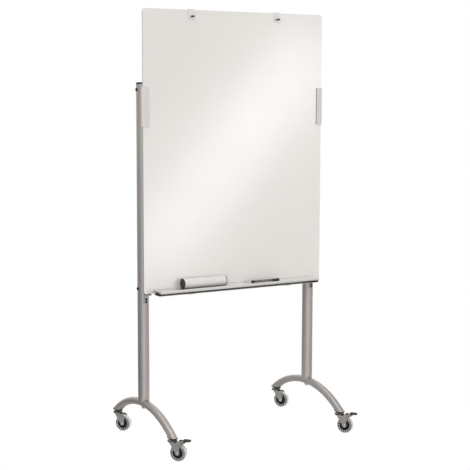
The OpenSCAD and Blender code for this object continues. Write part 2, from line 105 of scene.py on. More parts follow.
def filleted(corners, radii, steps=5, closed=True):
    """A polygon whose corners are arcs.

    Each arc's centre is on the bisector of its corner, radius / sin(half the corner) away from it,
    and its points turn evenly between the two points where the circle touches the edges.
    """
    p = np.asarray(corners, float)
    r = np.maximum(np.broadcast_to(np.asarray(radii, float), len(p)), 0.02 * MM)[:, None]
    back = np.roll(p, 1, 0) - p
    ahead = np.roll(p, -1, 0) - p
    back /= np.linalg.norm(back, axis=1, keepdims=True)
    ahead /= np.linalg.norm(ahead, axis=1, keepdims=True)
    half = np.arccos(np.clip((back * ahead).sum(1, keepdims=True), -0.9999, 0.9999)) / 2
    bisector = (back + ahead) / np.linalg.norm(back + ahead, axis=1, keepdims=True)
    centre = p + bisector * r / np.sin(half)
    first = p + back * r / np.tan(half) - centre
    last = p + ahead * r / np.tan(half) - centre
    turn = (math.pi - 2 * half)[:, None]
    t = np.linspace(0, 1, steps + 1)[None, :, None]
    swung = (np.sin((1 - t) * turn) * first[:, None] + np.sin(t * turn) * last[:, None]) / np.sin(turn)
    arcs = centre[:, None] + swung
    if closed:
        return arcs.reshape(-1, 2)
    return np.concatenate([p[:1], arcs[1:-1].reshape(-1, 2), p[-1:]])


def mitres(outline, closed=True):
    """At each point of an outline, the vector that shifts its two edges sideways by one unit.

    It is the sum of the edges' unit normals over one plus their dot product.
    """
    edge = np.roll(outline, -1, 0) - outline
    if not closed:
        edge[-1] = edge[-2]
    normal = np.stack([edge[:, 1], -edge[:, 0]], -1)
    normal /= np.maximum(np.linalg.norm(normal, axis=1, keepdims=True), 1e-12)
    other = np.roll(normal, 1, 0)
    if not closed:
        other[0] = normal[0]
    share = np.maximum(1 + (normal * other).sum(1), 0.4)
    return (normal + other) / share[:, None]


def strip(corners, thickness, radius, steps=6):
    """Outline of bent sheet: a filleted open line moved half the thickness to each side."""
    line = filleted(corners, radius, steps, closed=False)
    side = mitres(line, closed=False) * thickness / 2
    outline = np.concatenate([line + side, (line - side)[::-1]])
    return outline if area(outline) > 0 else outline[::-1]


def area(outline):
    """Signed area, positive for an outline that runs counter-clockwise."""
    x, y = outline.T
    return 0.5 * float(np.sum(x * np.roll(y, -1) - np.roll(x, -1) * y))


def rounded_box(width, height, radius, steps=8, centre=(0, 0)):
    """Outline of a rectangle with round corners."""
    w, h = width / 2, height / 2
    return filleted([[-w, -h], [w, -h], [w, h], [-w, h]], radius, steps) + np.asarray(centre)


# ---------------------------------------------------------------- solids: stacks of closed rings


AXES = {"x": (1, 2, 0), "y": (2, 0, 1), "z": (0, 1, 2)}


def slab(outline, start, stop, axis, edge=0.5 * MM, steps=3):
    """An outline drawn along an axis, its two end edges rolled over by quarter circles.

    On each end ring the outline is shrunk by edge * (1 - sin t) at a depth of edge * (1 - cos t).
    """
    outline = np.asarray(outline, float)
    if area(outline) < 0:
        outline = outline[::-1]
    side = mitres(outline)
    t = np.linspace(0, math.pi / 2, steps + 1)
    shrink = edge * (1 - np.sin(t))
    depth = edge * (1 - np.cos(t))
    shrink = np.concatenate([shrink, shrink[::-1]])
    level = np.concatenate([start + depth, (stop - depth)[::-1]])
    rings = np.empty((len(level), len(outline), 3))
    u, v, w = AXES[axis]
    rings[..., [u, v]] = outline[None] - side[None] * shrink[:, None, None]
    rings[..., w] = level[:, None]
    return rings


def lathe(profile, centre=(0, 0, 0), axis=(0, 0, 1), sides=64, waves=None):
    """A profile of (distance along the axis, radius) turned round the axis.

    waves(angle, row) may return factors of the radius, for flats, flutes and sockets.
    """
    profile = np.asarray(profile, float)
    w = np.asarray(axis, float) / np.linalg.norm(axis)
    u = np.cross(w, [0.3, 0.2, 1.0] if abs(w[2]) < 0.9 else [0.0, 1.0, 0.0])
    u /= np.linalg.norm(u)
    v = np.cross(w, u)
    turn = np.arange(sides) * 2 * math.pi / sides
    radius = profile[:, 1][:, None] * np.ones(sides)
    if waves is not None:
        radius = radius * waves(turn[None, :], np.arange(len(profile))[:, None])
    spoke = np.cos(turn)[:, None] * u + np.sin(turn)[:, None] * v
    return np.asarray(centre) + radius[..., None] * spoke + profile[:, 0][:, None, None] * w


def eased(points, radius, steps=4):
    """A lathe profile with its inner corners rounded."""
    return filleted(points, radius, steps, closed=False)


def rod(start, stop, radius, edge, centre, axis, sides=64):
    """A solid rod along an axis, its two rims rounded."""
    ends = [(start, 0), (start, radius), (stop, radius), (stop, 0)]
    return lathe(eased(ends, [0, edge, edge, 0]), centre, axis, sides)


def hex_waves(first, last):
    """Turns rows first to last of a lathe into hexagons: one over the cosine of the angle off a flat."""

    def factor(turn, row):
        off = np.mod(turn, math.pi / 3) - math.pi / 6
        return np.where((row >= first) & (row <= last), 1 / np.cos(off), 1.0)

    return factor


def screw_head(centre, axis, radius, height, socket):
    """A domed button head with a hexagonal socket sunk into its crown."""
    dome = arc((0, 0), 1, 0, 62, 6)
    rim = [(height * 0.25 + height * 0.75 * s / 0.883, radius * c) for c, s in dome]
    bottom = height * 0.35
    sunk = [(height, socket / 2 * 1.12), (height - 0.2 * MM, socket / 2), (bottom, socket / 2), (bottom, 0)]
    profile = [(0, 0), (0, radius * 0.97), (height * 0.04, radius)] + rim + sunk
    return lathe(profile, centre, axis, 48, hex_waves(len(profile) - 3, len(profile) - 2))


def placed(rings, origin, along, across):
    """Rings drawn in a local frame, moved to origin with X along one direction and Y across it."""
    x, y = np.asarray(along, float), np.asarray(across, float)
    turn = np.stack([x, y, np.cross(x, y)])
    return rings @ turn + np.asarray(origin)


def skin(rings, wrap=False):
    """Quads between neighbouring rings, and a face that fills the first and the last ring.

    With wrap the last ring joins the first, as on a hoop.
    """
    count, size = rings.shape[:2]
    i = np.arange(count if wrap else count - 1)[:, None]
    j = np.arange(size)[None, :]
    after, beside = (i + 1) % count, (j + 1) % size
    quads = np.stack([i * size + j, i * size + beside, after * size + beside, after * size + j], -1)
    faces = quads.reshape(-1, 4).tolist()
    if not wrap:
        faces += [list(range(size))[::-1], list(range((count - 1) * size, count * size))]
    return rings.reshape(-1, 3), faces


def build(name, solids, material, body="root", stands_for=(), hoops=(), crease=35.0):
    """One piece from stacks of rings, closed, with its faces outwards and its flats kept flat."""
    points, faces, start = [], [], 0
    for rings, wrap in [(s, False) for s in solids] + [(h, True) for h in hoops]:
        p, f = skin(rings, wrap)
        points.append(p)
        faces += [[k + start for k in face] for face in f]
        start += len(p)
    mesh = bpy.data.meshes.new(name)
    mesh.from_pydata(np.concatenate(points).tolist(), [], faces)
    work = bmesh.new()
    work.from_mesh(mesh)
    bmesh.ops.remove_doubles(work, verts=work.verts, dist=0.5e-6)
    bmesh.ops.dissolve_degenerate(work, edges=work.edges, dist=0.5e-6)
    bmesh.ops.recalc_face_normals(work, faces=work.faces)
    work.to_mesh(mesh)
    work.free()
    mesh.shade_smooth()
    mesh.set_sharp_from_angle(angle=math.radians(crease))
    mesh.materials.append(material)
    piece = bpy.data.objects.new(name, mesh)
    bpy.context.scene.collection.objects.link(piece)
    flats = piece.modifiers.new("Even flats", "WEIGHTED_NORMAL")
    flats.keep_sharp = True
    flats.weight = 80
    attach(piece, body)
    if stands_for:
        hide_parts(*stands_for)
    return piece


# ---------------------------------------------------------------- shader expressions


class Sum:
    """A socket of a material; arithmetic on it adds Math nodes."""

    def __init__(self, net, socket):
        self.net = net
        self.socket = socket

    def math(self, operation, a, b=0.0):
        return self.net.add("ShaderNodeMath", {"operation": operation}, {0: a, 1: b})

    def __add__(self, other):
        return self.math("ADD", self, other)

    __radd__ = __add__

    def __mul__(self, other):
        return self.math("MULTIPLY", self, other)

    __rmul__ = __mul__

    def __sub__(self, other):
        return self.math("SUBTRACT", self, other)

    def __rsub__(self, other):
        return self.math("SUBTRACT", other, self)

    def between(self, start, stop):
        """Smooth 0 to 1 as the value goes from start to stop."""
        settings = {"interpolation_type": "SMOOTHSTEP"}
        return self.net.add("ShaderNodeMapRange", settings, {0: self, 1: start, 2: stop})


class Finish:
    """A material on the Principled shader, written as expressions."""

    def __init__(self, name, **uniform):
        self.material = bpy.data.materials.new(name)
        self.material.use_nodes = True
        self.tree = self.material.node_tree
        self.shader = self.tree.nodes["Principled BSDF"]
        self.place = self.add("ShaderNodeTexCoord", {}, {}, "Object")
        for socket, value in uniform.items():
            self.shader.inputs[socket.replace("_", " ")].default_value = value

    def add(self, kind, settings, inputs, output=0):
        """Any node: its settings first, then values or links on its sockets, then one of its outputs."""
        node = self.tree.nodes.new(kind)
        for key, value in settings.items():
            if key == "stops":
                ramp = node.color_ramp
                while len(ramp.elements) < len(value):
                    ramp.elements.new(0.5)
                for element, (position, colour) in zip(ramp.elements, value):
                    element.position = position
                    element.color = colour
            else:
                setattr(node, key, value)
        for key, value in inputs.items():
            self.join(node.inputs[key], value)
        return Sum(self, node.outputs[output])

    def join(self, socket, value):
        if isinstance(value, Sum):
            self.tree.links.new(value.socket, socket)
        else:
            socket.default_value = value

    def feed(self, socket, value):
        self.join(self.shader.inputs[socket], value)

    def stretched(self, scale, shift=(0, 0, 0), turn=(0, 0, 0)):
        """Object coordinates, scaled, shifted and turned by a Mapping node."""
        inputs = {"Vector": self.place, "Scale": scale, "Location": shift, "Rotation": turn}
        return self.add("ShaderNodeMapping", {}, inputs)

    def noise(self, scale, detail=3.0, rough=0.5, at=None, kind="FBM"):
        inputs = {"Vector": at or self.place, "Scale": scale, "Detail": detail, "Roughness": rough}
        return self.add("ShaderNodeTexNoise", {"noise_type": kind}, inputs)

    def cells(self, scale, at=None, feature="F1", output="Distance"):
        inputs = {"Vector": at or self.place, "Scale": scale}
        return self.add("ShaderNodeTexVoronoi", {"feature": feature}, inputs, output)

    def axis(self, index):
        """The object's own X, Y or Z in metres."""
        return self.add("ShaderNodeSeparateXYZ", {}, {0: self.place}, index)

    def blend(self, factor, a, b):
        """A colour between a and b."""
        settings = {"data_type": "RGBA"}
        return self.add("ShaderNodeMix", settings, {0: factor, 6: a, 7: b}, 2)

    def bump(self, height, distance, strength=1.0, under=None):
        inputs = {"Height": height, "Distance": distance, "Strength": strength}
        if under is not None:
            inputs["Normal"] = under
        return self.add("ShaderNodeBump", {}, inputs)


def shade(colour, factor):
    """A colour made lighter or darker, with its alpha kept."""
    return tuple(min(1.0, c * factor) for c in colour[:3]) + (1.0,)


# ---------------------------------------------------------------- what a user may change


def length_property(name, description, default, smallest, largest):
    return FloatProperty(
        name=name,
        description=description,
        default=default * MM,
        min=smallest * MM,
        max=largest * MM,
        unit="LENGTH",
    )


class BoardSizes(PropertyGroup):
    """Rounding of edges and bends."""

    glass_arris: length_property("Glass arris", "Ground edge of the glass panel", 0.9, 0.2, 2)
    sheet_edge: length_property("Sheet edge", "Rounding of the edges of pressed metal", 0.45, 0.1, 0.8)
    plastic_edge: length_property("Plastic edge", "Rounding of the edges of moulded parts", 0.8, 0.2, 1.2)
    eyelets: IntProperty(
        name="Eyelets", description="Round openings in the rim of each wheel's core", default=16, min=8, max=16
    )


def colour_property(name, description, default):
    return FloatVectorProperty(
        name=name, description=description, default=default, size=4, min=0, max=1, subtype="COLOR"
    )


class BoardFinish(PropertyGroup):
    """Colours of the finishes."""

    glass: colour_property("Glass", "White paint behind the glass", (0.73, 0.706, 0.674, 1))
    coat: colour_property("Powder coat", "Metallic paint of posts and feet", (0.50, 0.468, 0.445, 1))
    aluminium: colour_property("Aluminium", "Anodised tray and clamps", (0.86, 0.845, 0.825, 1))
    clamp: colour_property("Clamps", "Satin side clamps", (0.80, 0.755, 0.74, 1))
    zinc: colour_property("Zinc", "Plated caster steel", (0.42, 0.40, 0.38, 1))
    black: colour_property("Black plastic", "Caps, plugs and pedals", (0.018, 0.018, 0.019, 1))
    tread: colour_property("Tread", "Clear tread of the wheels", (0.93, 0.92, 0.90, 1))
    felt: colour_property("Felt", "Sole of the eraser", (0.66, 0.62, 0.57, 1))
    marker: colour_property("Marker", "Barrel of the marker", (0.125, 0.108, 0.128, 1))


def angle_property(name, description, degrees):
    return FloatProperty(name=name, description=description, default=math.radians(degrees), subtype="ANGLE")


class BoardStage(PropertyGroup):
    """Camera, lamps and floor."""

    camera_at: FloatVectorProperty(
        name="Camera",
        description="Where the camera stands",
        default=(-2.739, -4.684, 1.543),
        size=3,
        subtype="TRANSLATION",
        unit="LENGTH",
    )
    heading: angle_property("Heading", "Turn of the camera from +Y towards +X", 30.613)
    dip: angle_property("Dip", "Tilt of the camera below the horizon", 6.665)
    roll: angle_property("Roll", "Turn of the camera about its line of sight, right side up", 0.157)
    lens: FloatProperty(
        name="Focal length", description="On a 36 mm sensor, in millimetres", default=92.5, min=20, max=300
    )
    lamp: FloatProperty(
        name="Lamp strength", description="Scale of all the studio lamps", default=1.0, min=0, max=5
    )


def settings():
    scene = bpy.context.scene
    return scene.wb_sizes, scene.wb_finish, scene.wb_stage


# ---------------------------------------------------------------- materials


def painted_glass(finish):
    """White paint seen through polished glass: faint clouds in the paint, wiped haze on the face."""
    m = Finish("painted glass", IOR=1.52)
    clouds = m.noise(1.6, 4.0, 0.55)
    strokes = m.noise(3.0, 5.0, 0.6, at=m.stretched((1.0, 1.0, 5.0), turn=(0, 0.5, 0)))
    tint = m.blend(clouds.between(0.35, 0.7), shade(finish.glass, 0.985), shade(finish.glass, 1.015))
    m.feed("Base Color", m.blend(strokes.between(0.55, 0.75) * 0.12, tint, shade(finish.glass, 0.96)))
    m.feed("Roughness", 0.17 + strokes * 0.08)
    m.feed("Normal", m.bump(m.noise(6.0, 2.0), 0.00004, 0.4))
    return m.material


def polished_edge(finish):
    """The ground and polished edge of low-iron glass, a pale green grey with faint grinding lines."""
    m = Finish("polished glass edge", IOR=1.52, Coat_Weight=1.0, Coat_Roughness=0.05)
    lines = m.noise(60.0, 3.0, 0.6, at=m.stretched((1.0, 60.0, 1.0)))
    green, pale = (0.33, 0.39, 0.36, 1), (0.52, 0.565, 0.53, 1)
    m.feed("Base Color", m.blend(lines.between(0.3, 0.7), green, pale))
    m.feed("Roughness", 0.12 + lines * 0.15)
    m.feed("Normal", m.bump(lines, 0.00003, 0.5))
    return m.material


def powder_coat(name, coat):
    """Satin metallic paint: fine orange peel, metal flakes, and scuffs that thicken near the floor."""
    m = Finish(name, Metallic=0.86, Specular_IOR_Level=0.5)
    peel = m.noise(900.0, 2.0, 0.5)
    flakes = m.cells(2600.0, output="Color")
    flake = m.add("ShaderNodeRGBToBW", {}, {0: flakes})
    drift = m.noise(5.0, 4.0, 0.55)
    scuffs = m.noise(240.0, 6.0, 0.7).between(0.62, 0.74) * (1 - m.axis(2).between(0.05, 0.32))
    base = m.blend(drift.between(0.3, 0.7), shade(coat, 0.965), shade(coat, 1.03))
    base = m.blend(flake.between(0.80, 0.98) * 0.35, base, shade(coat, 1.45))
    m.feed("Base Color", m.blend(scuffs * 0.45, base, shade(coat, 0.70)))
    m.feed("Roughness", 0.335 + drift * 0.06 + scuffs * 0.2)
    m.feed("Normal", m.bump(peel, 0.00006, 0.5))
    return m.material


def anodised(name, colour, along, rough=0.24, metal=1.0):
    """Extruded and anodised aluminium: fine die lines along the extrusion under a satin etch."""
    m = Finish(name, Metallic=metal)
    scale = [1800.0, 1800.0, 1800.0]
    scale["xyz".index(along)] = 4.0
    lines = m.noise(1.0, 4.0, 0.65, at=m.stretched(tuple(scale)))
    etch = m.noise(3200.0, 2.0)
    drift = m.noise(7.0, 3.0)
    nicks = m.noise(420.0, 5.0, 0.7).between(0.70, 0.76)
    base = m.blend(lines.between(0.3, 0.7), shade(colour, 0.94), shade(colour, 1.03))
    m.feed("Base Color", m.blend(nicks * 0.3, base, shade(colour, 0.72)))
    m.feed("Roughness", rough + lines * 0.14 + drift * 0.05)
    m.feed("Normal", m.bump(lines + etch * 0.4, 0.00003, 0.5))
    return m.material


def zinc_plate(name, colour, rough=0.30):
    """Bright zinc on pressed steel: a soft mottle, drawing lines and dulled patches."""
    m = Finish(name, Metallic=1.0)
    mottle = m.noise(130.0, 4.0, 0.6)
    grain = m.noise(1400.0, 3.0, 0.6)
    dull = m.noise(45.0, 5.0, 0.65).between(0.52, 0.72)
    base = m.blend(mottle.between(0.35, 0.65), shade(colour, 0.93), shade(colour, 1.06))
    m.feed("Base Color", m.blend(dull * 0.3, base, shade(colour, 0.8)))
    m.feed("Roughness", rough + dull * 0.12 + grain * 0.08)
    m.feed("Normal", m.bump(grain + mottle * 0.6, 0.00005, 0.5))
    return m.material


def moulded(name, colour, rough=0.42, grain_scale=2400.0, wear=1.0):
    """Moulded plastic: a spark-eroded grain, slight flow marks and a greyed, dusty scatter."""
    m = Finish(name, Specular_IOR_Level=0.45)
    grain = m.cells(grain_scale, feature="SMOOTH_F1")
    flow = m.noise(60.0, 4.0, 0.6)
    dust = m.noise(700.0, 5.0, 0.7).between(0.63, 0.78) * wear
    base = m.blend(flow, shade(colour, 0.8), shade(colour, 1.35))
    m.feed("Base Color", m.blend(dust * 0.12, base, (0.20, 0.19, 0.18, 1)))
    m.feed("Roughness", rough + flow * 0.10 + dust * 0.1)
    m.feed("Normal", m.bump(grain, 0.00005, 0.35))
    return m.material


def clear_tread(finish):
    """Clear polyurethane: hazy inside, scratched and slightly dusty where it has rolled."""
    m = Finish("clear tread", Transmission_Weight=0.22, IOR=1.36)
    haze = m.noise(90.0, 4.0, 0.6)
    scratches = m.noise(1.0, 4.0, 0.7, at=m.stretched((220.0, 220.0, 900.0))).between(0.55, 0.72)
    m.feed("Base Color", m.blend(haze * 0.5, finish.tread[:], shade(finish.tread, 0.9)))
    m.feed("Roughness", 0.03 + haze * 0.05 + scratches * 0.12)
    m.feed("Normal", m.bump(scratches, 0.00004, 0.4))
    return m.material


def pressed_felt(name, colour):
    """Pressed felt: a mat of crossing fibres with grey ink worn into it."""
    m = Finish(name, Roughness=0.95, Specular_IOR_Level=0.15)
    long_way = m.noise(1.0, 5.0, 0.75, at=m.stretched((900.0, 3200.0, 3200.0), turn=(0.3, 0.6, 0.2)))
    cross_way = m.noise(1.0, 5.0, 0.75, at=m.stretched((3200.0, 1000.0, 2600.0), turn=(0.9, 0.1, 0.7)))
    fibres = long_way.math("MAXIMUM", long_way, cross_way)
    ink = m.noise(24.0, 4.0, 0.6).between(0.52, 0.78)
    base = m.blend(fibres.between(0.35, 0.75), shade(colour, 0.72), shade(colour, 1.12))
    m.feed("Base Color", m.blend(ink * 0.45, base, shade(colour, 0.34)))
    m.feed("Normal", m.bump(fibres, 0.0004, 0.8))
    return m.material


def soft_rubber():
    """Dark rubber: a matt bloom over a fine grain."""
    m = Finish("soft rubber", Specular_IOR_Level=0.3)
    bloom = m.noise(300.0, 4.0, 0.6)
    m.feed("Base Color", m.blend(bloom, (0.028, 0.028, 0.029, 1), (0.062, 0.061, 0.060, 1)))
    m.feed("Roughness", 0.68 + bloom * 0.2)
    m.feed("Normal", m.bump(m.noise(2600.0, 2.0), 0.00004, 0.5))
    return m.material


def turned_metal(name, colour, rough=0.25):
    """Turned or headed metal: fine tool marks and small dull specks."""
    m = Finish(name, Metallic=1.0)
    marks = m.noise(1600.0, 4.0, 0.65)
    specks = m.noise(260.0, 4.0, 0.6).between(0.55, 0.7)
    m.feed("Base Color", m.blend(specks * 0.5, colour, shade(colour, 0.7)))
    m.feed("Roughness", rough + marks * 0.15)
    m.feed("Normal", m.bump(marks, 0.00003, 0.5))
    return m.material


def black_oxide():
    """Blackened steel bolts: near black, oily, with brown specks at the edges."""
    m = Finish("black oxide", Metallic=0.6)
    specks = m.noise(520.0, 5.0, 0.65).between(0.56, 0.72)
    m.feed("Base Color", m.blend(specks * 0.5, (0.022, 0.021, 0.021, 1), (0.085, 0.072, 0.062, 1)))
    m.feed("Roughness", 0.30 + m.noise(900.0, 3.0) * 0.2)
    m.feed("Normal", m.bump(m.noise(1800.0, 2.0), 0.00003, 0.5))
    return m.material


def marker_barrel_finish(finish):
    """Gloss barrel with a darker printed band that has no lettering, and fine handling marks."""
    m = Finish("marker barrel", Coat_Weight=0.2, Coat_Roughness=0.08)
    centre = (low("marker_barrel") + high("marker_barrel"))[0] / 2
    offset = m.axis(0) - float(centre)
    band = 1 - offset.math("ABSOLUTE", offset).between(0.018, 0.0185)
    marks = m.noise(800.0, 5.0, 0.7).between(0.6, 0.75)
    base = m.blend(band * 0.45, finish.marker[:], shade(finish.marker, 1.9))
    m.feed("Base Color", m.blend(marks * 0.15, base, (0.3, 0.3, 0.3, 1)))
    m.feed("Roughness", 0.22 + marks * 0.15)
    m.feed("Normal", m.bump(m.noise(1200.0, 2.0), 0.00002, 0.4))
    return m.material


def pale_floor():
    """Matt pale studio floor that glows a little and thins out into the white surround."""
    m = Finish("studio floor", Roughness=0.9, Specular_IOR_Level=0.1, Emission_Strength=0.42)
    m.shader.inputs["Emission Color"].default_value = (1, 1, 1, 1)
    m.feed("Base Color", m.blend(m.noise(3.0, 3.0), (0.80, 0.80, 0.80, 1), (0.82, 0.82, 0.82, 1)))
    distance = m.add("ShaderNodeVectorMath", {"operation": "LENGTH"}, {0: m.place}, 1)
    m.feed("Alpha", 0.4 - distance.between(0.62, 1.15) * 0.4)
    return m.material


def finishes():
    """Every material, made once."""
    if not MATERIALS:
        finish = settings()[1]
        black = finish.black[:]
        MATERIALS.update(
            glass=painted_glass(finish),
            glass_edge=polished_edge(finish),
            coat=powder_coat("silver powder coat", finish.coat),
            # The feet have the posts' own powder coat. Taking its colour down to 0.9 is painted shade on the
            # bent feet.
            foot=powder_coat("foot powder coat", shade(finish.coat, 0.9)),
            tray=anodised("tray aluminium", finish.aluminium, "x"),
            clamp=anodised("clamp aluminium", finish.clamp[:], "z", 0.38, 0.4),
            eraser=anodised("eraser aluminium", shade(finish.aluminium, 0.99), "x", 0.3, 0.35),
            caster=zinc_plate("caster zinc", finish.zinc),
            hook=anodised("hook steel", shade(finish.clamp, 1.1), "x", 0.3, 0.45),
            bolt=turned_metal("zinc bolts", (0.55, 0.54, 0.52, 1)),
            brass=turned_metal("brass", (0.72, 0.53, 0.26, 1)),
            oxide=black_oxide(),
            black=moulded("black plastic", black),
            core=moulded("wheel core plastic", shade(black, 0.7), 0.35, 1500.0, 0.4),
            pedal=moulded("pedal plastic", shade(black, 1.5), 0.5, 1800.0, 1.6),
            cap=moulded("marker cap plastic", shade(black, 1.2), 0.25, 2600.0, 0.4),
            rubber=soft_rubber(),
            tread=clear_tread(finish),
            felt=pressed_felt("pressed felt", finish.felt[:]),
            nib=pressed_felt("marker nib", shade(finish.black, 1.6)),
            marker=marker_barrel_finish(finish),
        )
    return MATERIALS


MATERIALS = {}


# ---------------------------------------------------------------- board and frame


class BuildStep(Operator):
    """Base of the building operators."""

    bl_options = {"REGISTER", "UNDO"}

    def execute(self, context):
        self.make(*settings()[:2], finishes())
        return {"FINISHED"}


class WB_OT_glass(BuildStep):
    """Build the glass panel with its round corners and ground arris"""

    bl_idname = "wb.glass"
    bl_label = "Glass panel"

    def make(self, sizes, finish, mats):
        lo, hi = low("glass_board"), high("glass_board")
        corner = 14 * MM
        middle = (lo + hi) / 2
        outline = rounded_box(hi[2] - lo[2], hi[0] - lo[0], corner, 14, middle[[2, 0]])
        rings = slab(outline, lo[1], hi[1], "y", sizes.glass_arris, 3)
        piece = build("glass_panel", [rings], mats["glass"], "root", ["glass_board"])
        piece.data.materials.append(mats["glass_edge"])
        normals = np.zeros(len(piece.data.polygons) * 3)
        piece.data.polygons.foreach_get("normal", normals)
        on_edge = np.abs(normals.reshape(-1, 3)[:, 1]) < 0.9
        piece.data.polygons.foreach_set("material_index", on_edge.astype(np.int32))


def post_rings(side, coat_gap=0.15 * MM):
    """A round tube whose lower end follows the arch it stands on.

    At each angle the lower end is the height of the arch's skin below it, or the tube's own lowest
    point beside the arch, and the rows in between are a straight blend up to the top.
    """
    node = f"post_{side}"
    lo, hi = low(node), high(node)
    turn = np.arange(96) * 2 * math.pi / 96
    x, y = POST_R * np.cos(turn), POST_R * np.sin(turn)
    foot = np.maximum(arch_height(x, y) + coat_gap, lo[2])
    rows = np.concatenate([[0, 0.0006, 0.0012], np.linspace(0.02, 0.998, 12), [0.9994, 0.9998, 1.0]])
    shrink = np.zeros(len(rows))
    shrink[0], shrink[-1] = 0.5 * MM, 0.5 * MM
    scale = 1 - shrink[:, None] / POST_R
    rings = np.empty((len(rows), 96, 3))
    rings[..., 0] = SIDES[side] * POST_X + x * scale
    rings[..., 1] = y * scale
    rings[..., 2] = foot + rows[:, None] * (hi[2] - foot)
    return rings


def arch_figures():
    """Width of the bent tube, radius of its centreline and height of its bend's axis.

    The ends are cut level, so half the span, the top and the cut height fix the outer circle.
    """
    lo, hi = low("foot_arch_left"), high("foot_arch_left")
    tube = hi[0] - lo[0]
    half_span = (hi[1] - lo[1]) / 2
    rise = hi[2] - lo[2]
    outer = (half_span**2 + rise**2) / (2 * rise)
    return tube, outer - tube / 2, hi[2] - outer


def arch_height(x, y):
    """Height of the arch's upper skin at a place beside its middle plane."""
    tube, bend, axis = arch_figures()
    flat = tube / 2 - FOOT_CORNER
    beyond = np.clip(np.abs(x) - flat, 0, FOOT_CORNER)
    reach = flat + np.sqrt(np.maximum(FOOT_CORNER**2 - beyond**2, 0))
    height = axis + np.sqrt((bend + reach) ** 2 - y**2)
    return np.where(np.abs(x) < tube / 2, height, 0.0)


def arch_rings(side):
    """The bent foot: a rounded square carried round an arc, each of its lines cut at the same height.

    A line at radius R ends where R times the cosine of its angle meets the cut, so its points are at
    angles from minus to plus the arccosine of (cut - axis) / R.
    """
    tube, bend, axis = arch_figures()
    cut = low("foot_arch_left")[2]
    section = rounded_box(tube, tube, FOOT_CORNER, 12)
    radius = bend + section[:, 1]
    reach = np.arccos((cut - axis) / radius)
    t = np.linspace(-1, 1, 121)[:, None] * reach
    rings = np.empty((121, len(section), 3))
    rings[..., 0] = SIDES[side] * POST_X + section[:, 0]
    rings[..., 1] = radius * np.sin(t)
    rings[..., 2] = axis + radius * np.cos(t)
    return rings


class WB_OT_posts(BuildStep):
    """Build the posts, their caps and the arched feet with their end plugs"""

    bl_idname = "wb.posts"
    bl_label = "Posts and feet"

    def make(self, sizes, finish, mats):
        cap_lo, cap_hi = low("post_caps"), high("post_caps")
        brim = POST_R + 0.4 * MM
        for side in SIDES:
            build(f"post_tube_{side}", [post_rings(side)], mats["coat"], "root", [f"post_{side}"])
            # The feet use the darker copy of the coat, which is painted shade.
            build(f"bent_foot_{side}", [arch_rings(side)], mats["foot"], "root", [f"foot_arch_{side}"])
        top = high("post_left")[2]
        crown = cap_hi[2] - top
        profile = [(cap_lo[2], 0), (cap_lo[2], POST_R - 2.2 * MM), (top, POST_R - 2.2 * MM), (top, brim)]
        profile += [(top + crown * 0.45, brim), (top + crown * 0.8, brim - 1.6 * MM)]
        profile += [(cap_hi[2] - 0.1 * MM, brim - 6 * MM), (cap_hi[2], 0)]
        caps = [lathe(eased(profile, [0, 0, 0, 0.5 * MM, 1.2 * MM, 3 * MM, 2 * MM, 0]), (s * POST_X, 0, 0))
                for s in SIDES.values()]
        build("post_end_caps", caps, mats["black"], "root", ["post_caps"])
        plugs = []
        plug_lo, plug_hi = low("foot_end_plugs"), high("foot_end_plugs")
        cut = low("foot_arch_left")[2]
        tube, bend, axis = arch_figures()
        lean = math.acos((cut - axis) / bend)
        for name in CORNERS:
            x, y, _ = JOINTS[f"swivel_{name}"]["pos_m"]
            length = 2 * (plug_hi[1] - abs(y))
            flange = rounded_box(tube, length, FOOT_CORNER, 12, (x, y))
            inside = rounded_box(tube - 8 * MM, length - 12 * MM, 8 * MM, 8, (x, y))
            spigot = slab(inside, cut, cut + 8 * MM, "z")
            spigot[..., 1] -= np.sign(y) * (spigot[..., 2] - cut) / math.tan(lean)
            plugs += [slab(flange, plug_lo[2], cut, "z", sizes.plastic_edge), spigot]
        build("foot_plugs", plugs, mats["black"], "root", ["foot_end_plugs"])
        bolts = []
        lo = low("foot_bolts")[2]
        for s in SIDES.values():
            centre = (s * POST_X, 0, 0)
            bolts.append(rod(lo + 6.4 * MM, lo + 8.4 * MM, 11 * MM, 0.4 * MM, centre, (0, 0, 1)))
            bolts.append(hex_head(centre, (0, 0, -1), -lo - 6.4 * MM, 17 * MM, 6.4 * MM))
            bolts.append(lathe([(lo + 8 * MM, 4.9 * MM), (high("foot_bolts")[2], 4.9 * MM)], centre))
        build("foot_bolt_set", bolts, mats["bolt"], "root", ["foot_bolts"])


def hex_head(centre, axis, start, flats, height, sides=48):
    """A hexagon head with a turned chamfer: its corners dip where a cone cuts them."""
    rows = [(start, 0), (start, flats / 2), (start + height * 0.82, flats / 2),
            (start + height, flats / 2 * 0.93), (start + height, 0)]
    return lathe(rows, centre, axis, sides, hex_waves(0, 2))


class WB_OT_crossbars(BuildStep):
    """Build the crossbars between the posts and their button-headed side bolts"""

    bl_idname = "wb.crossbars"
    bl_label = "Crossbars"

    def make(self, sizes, finish, mats):
        heads = []
        for name in ("upper", "lower"):
            node = f"crossbar_{name}"
            lo, hi = low(node), high(node)
            z = (lo[2] + hi[2]) / 2
            section = rounded_box(hi[1] - lo[1], hi[2] - lo[2], 3 * MM, 6, (0, z))
            reach = POST_X - np.sqrt((POST_R + 0.1 * MM) ** 2 - section[:, 0] ** 2)
            rows = np.linspace(-1, 1, 33)[:, None]
            rings = np.empty((33, len(section), 3))
            rings[..., 0] = rows * reach
            rings[..., 1:] = section
            build(f"rail_{name}", [rings], mats["coat"], "root", [node])
            for s in SIDES.values():
                seat = np.array([s * (POST_X + POST_R + 0.1 * MM), 0, z])
                out = np.array([s, 0, 0])
                heads.append(rod(-0.1 * MM, 0.9 * MM, 7 * MM, 0.3 * MM, seat, out))
                heads.append(screw_head(seat + out * 0.8 * MM, out, *mm([6.8, 4.2, 4])))
        build("rail_bolts", heads, mats["oxide"], "root", ["crossbar_bolts"])


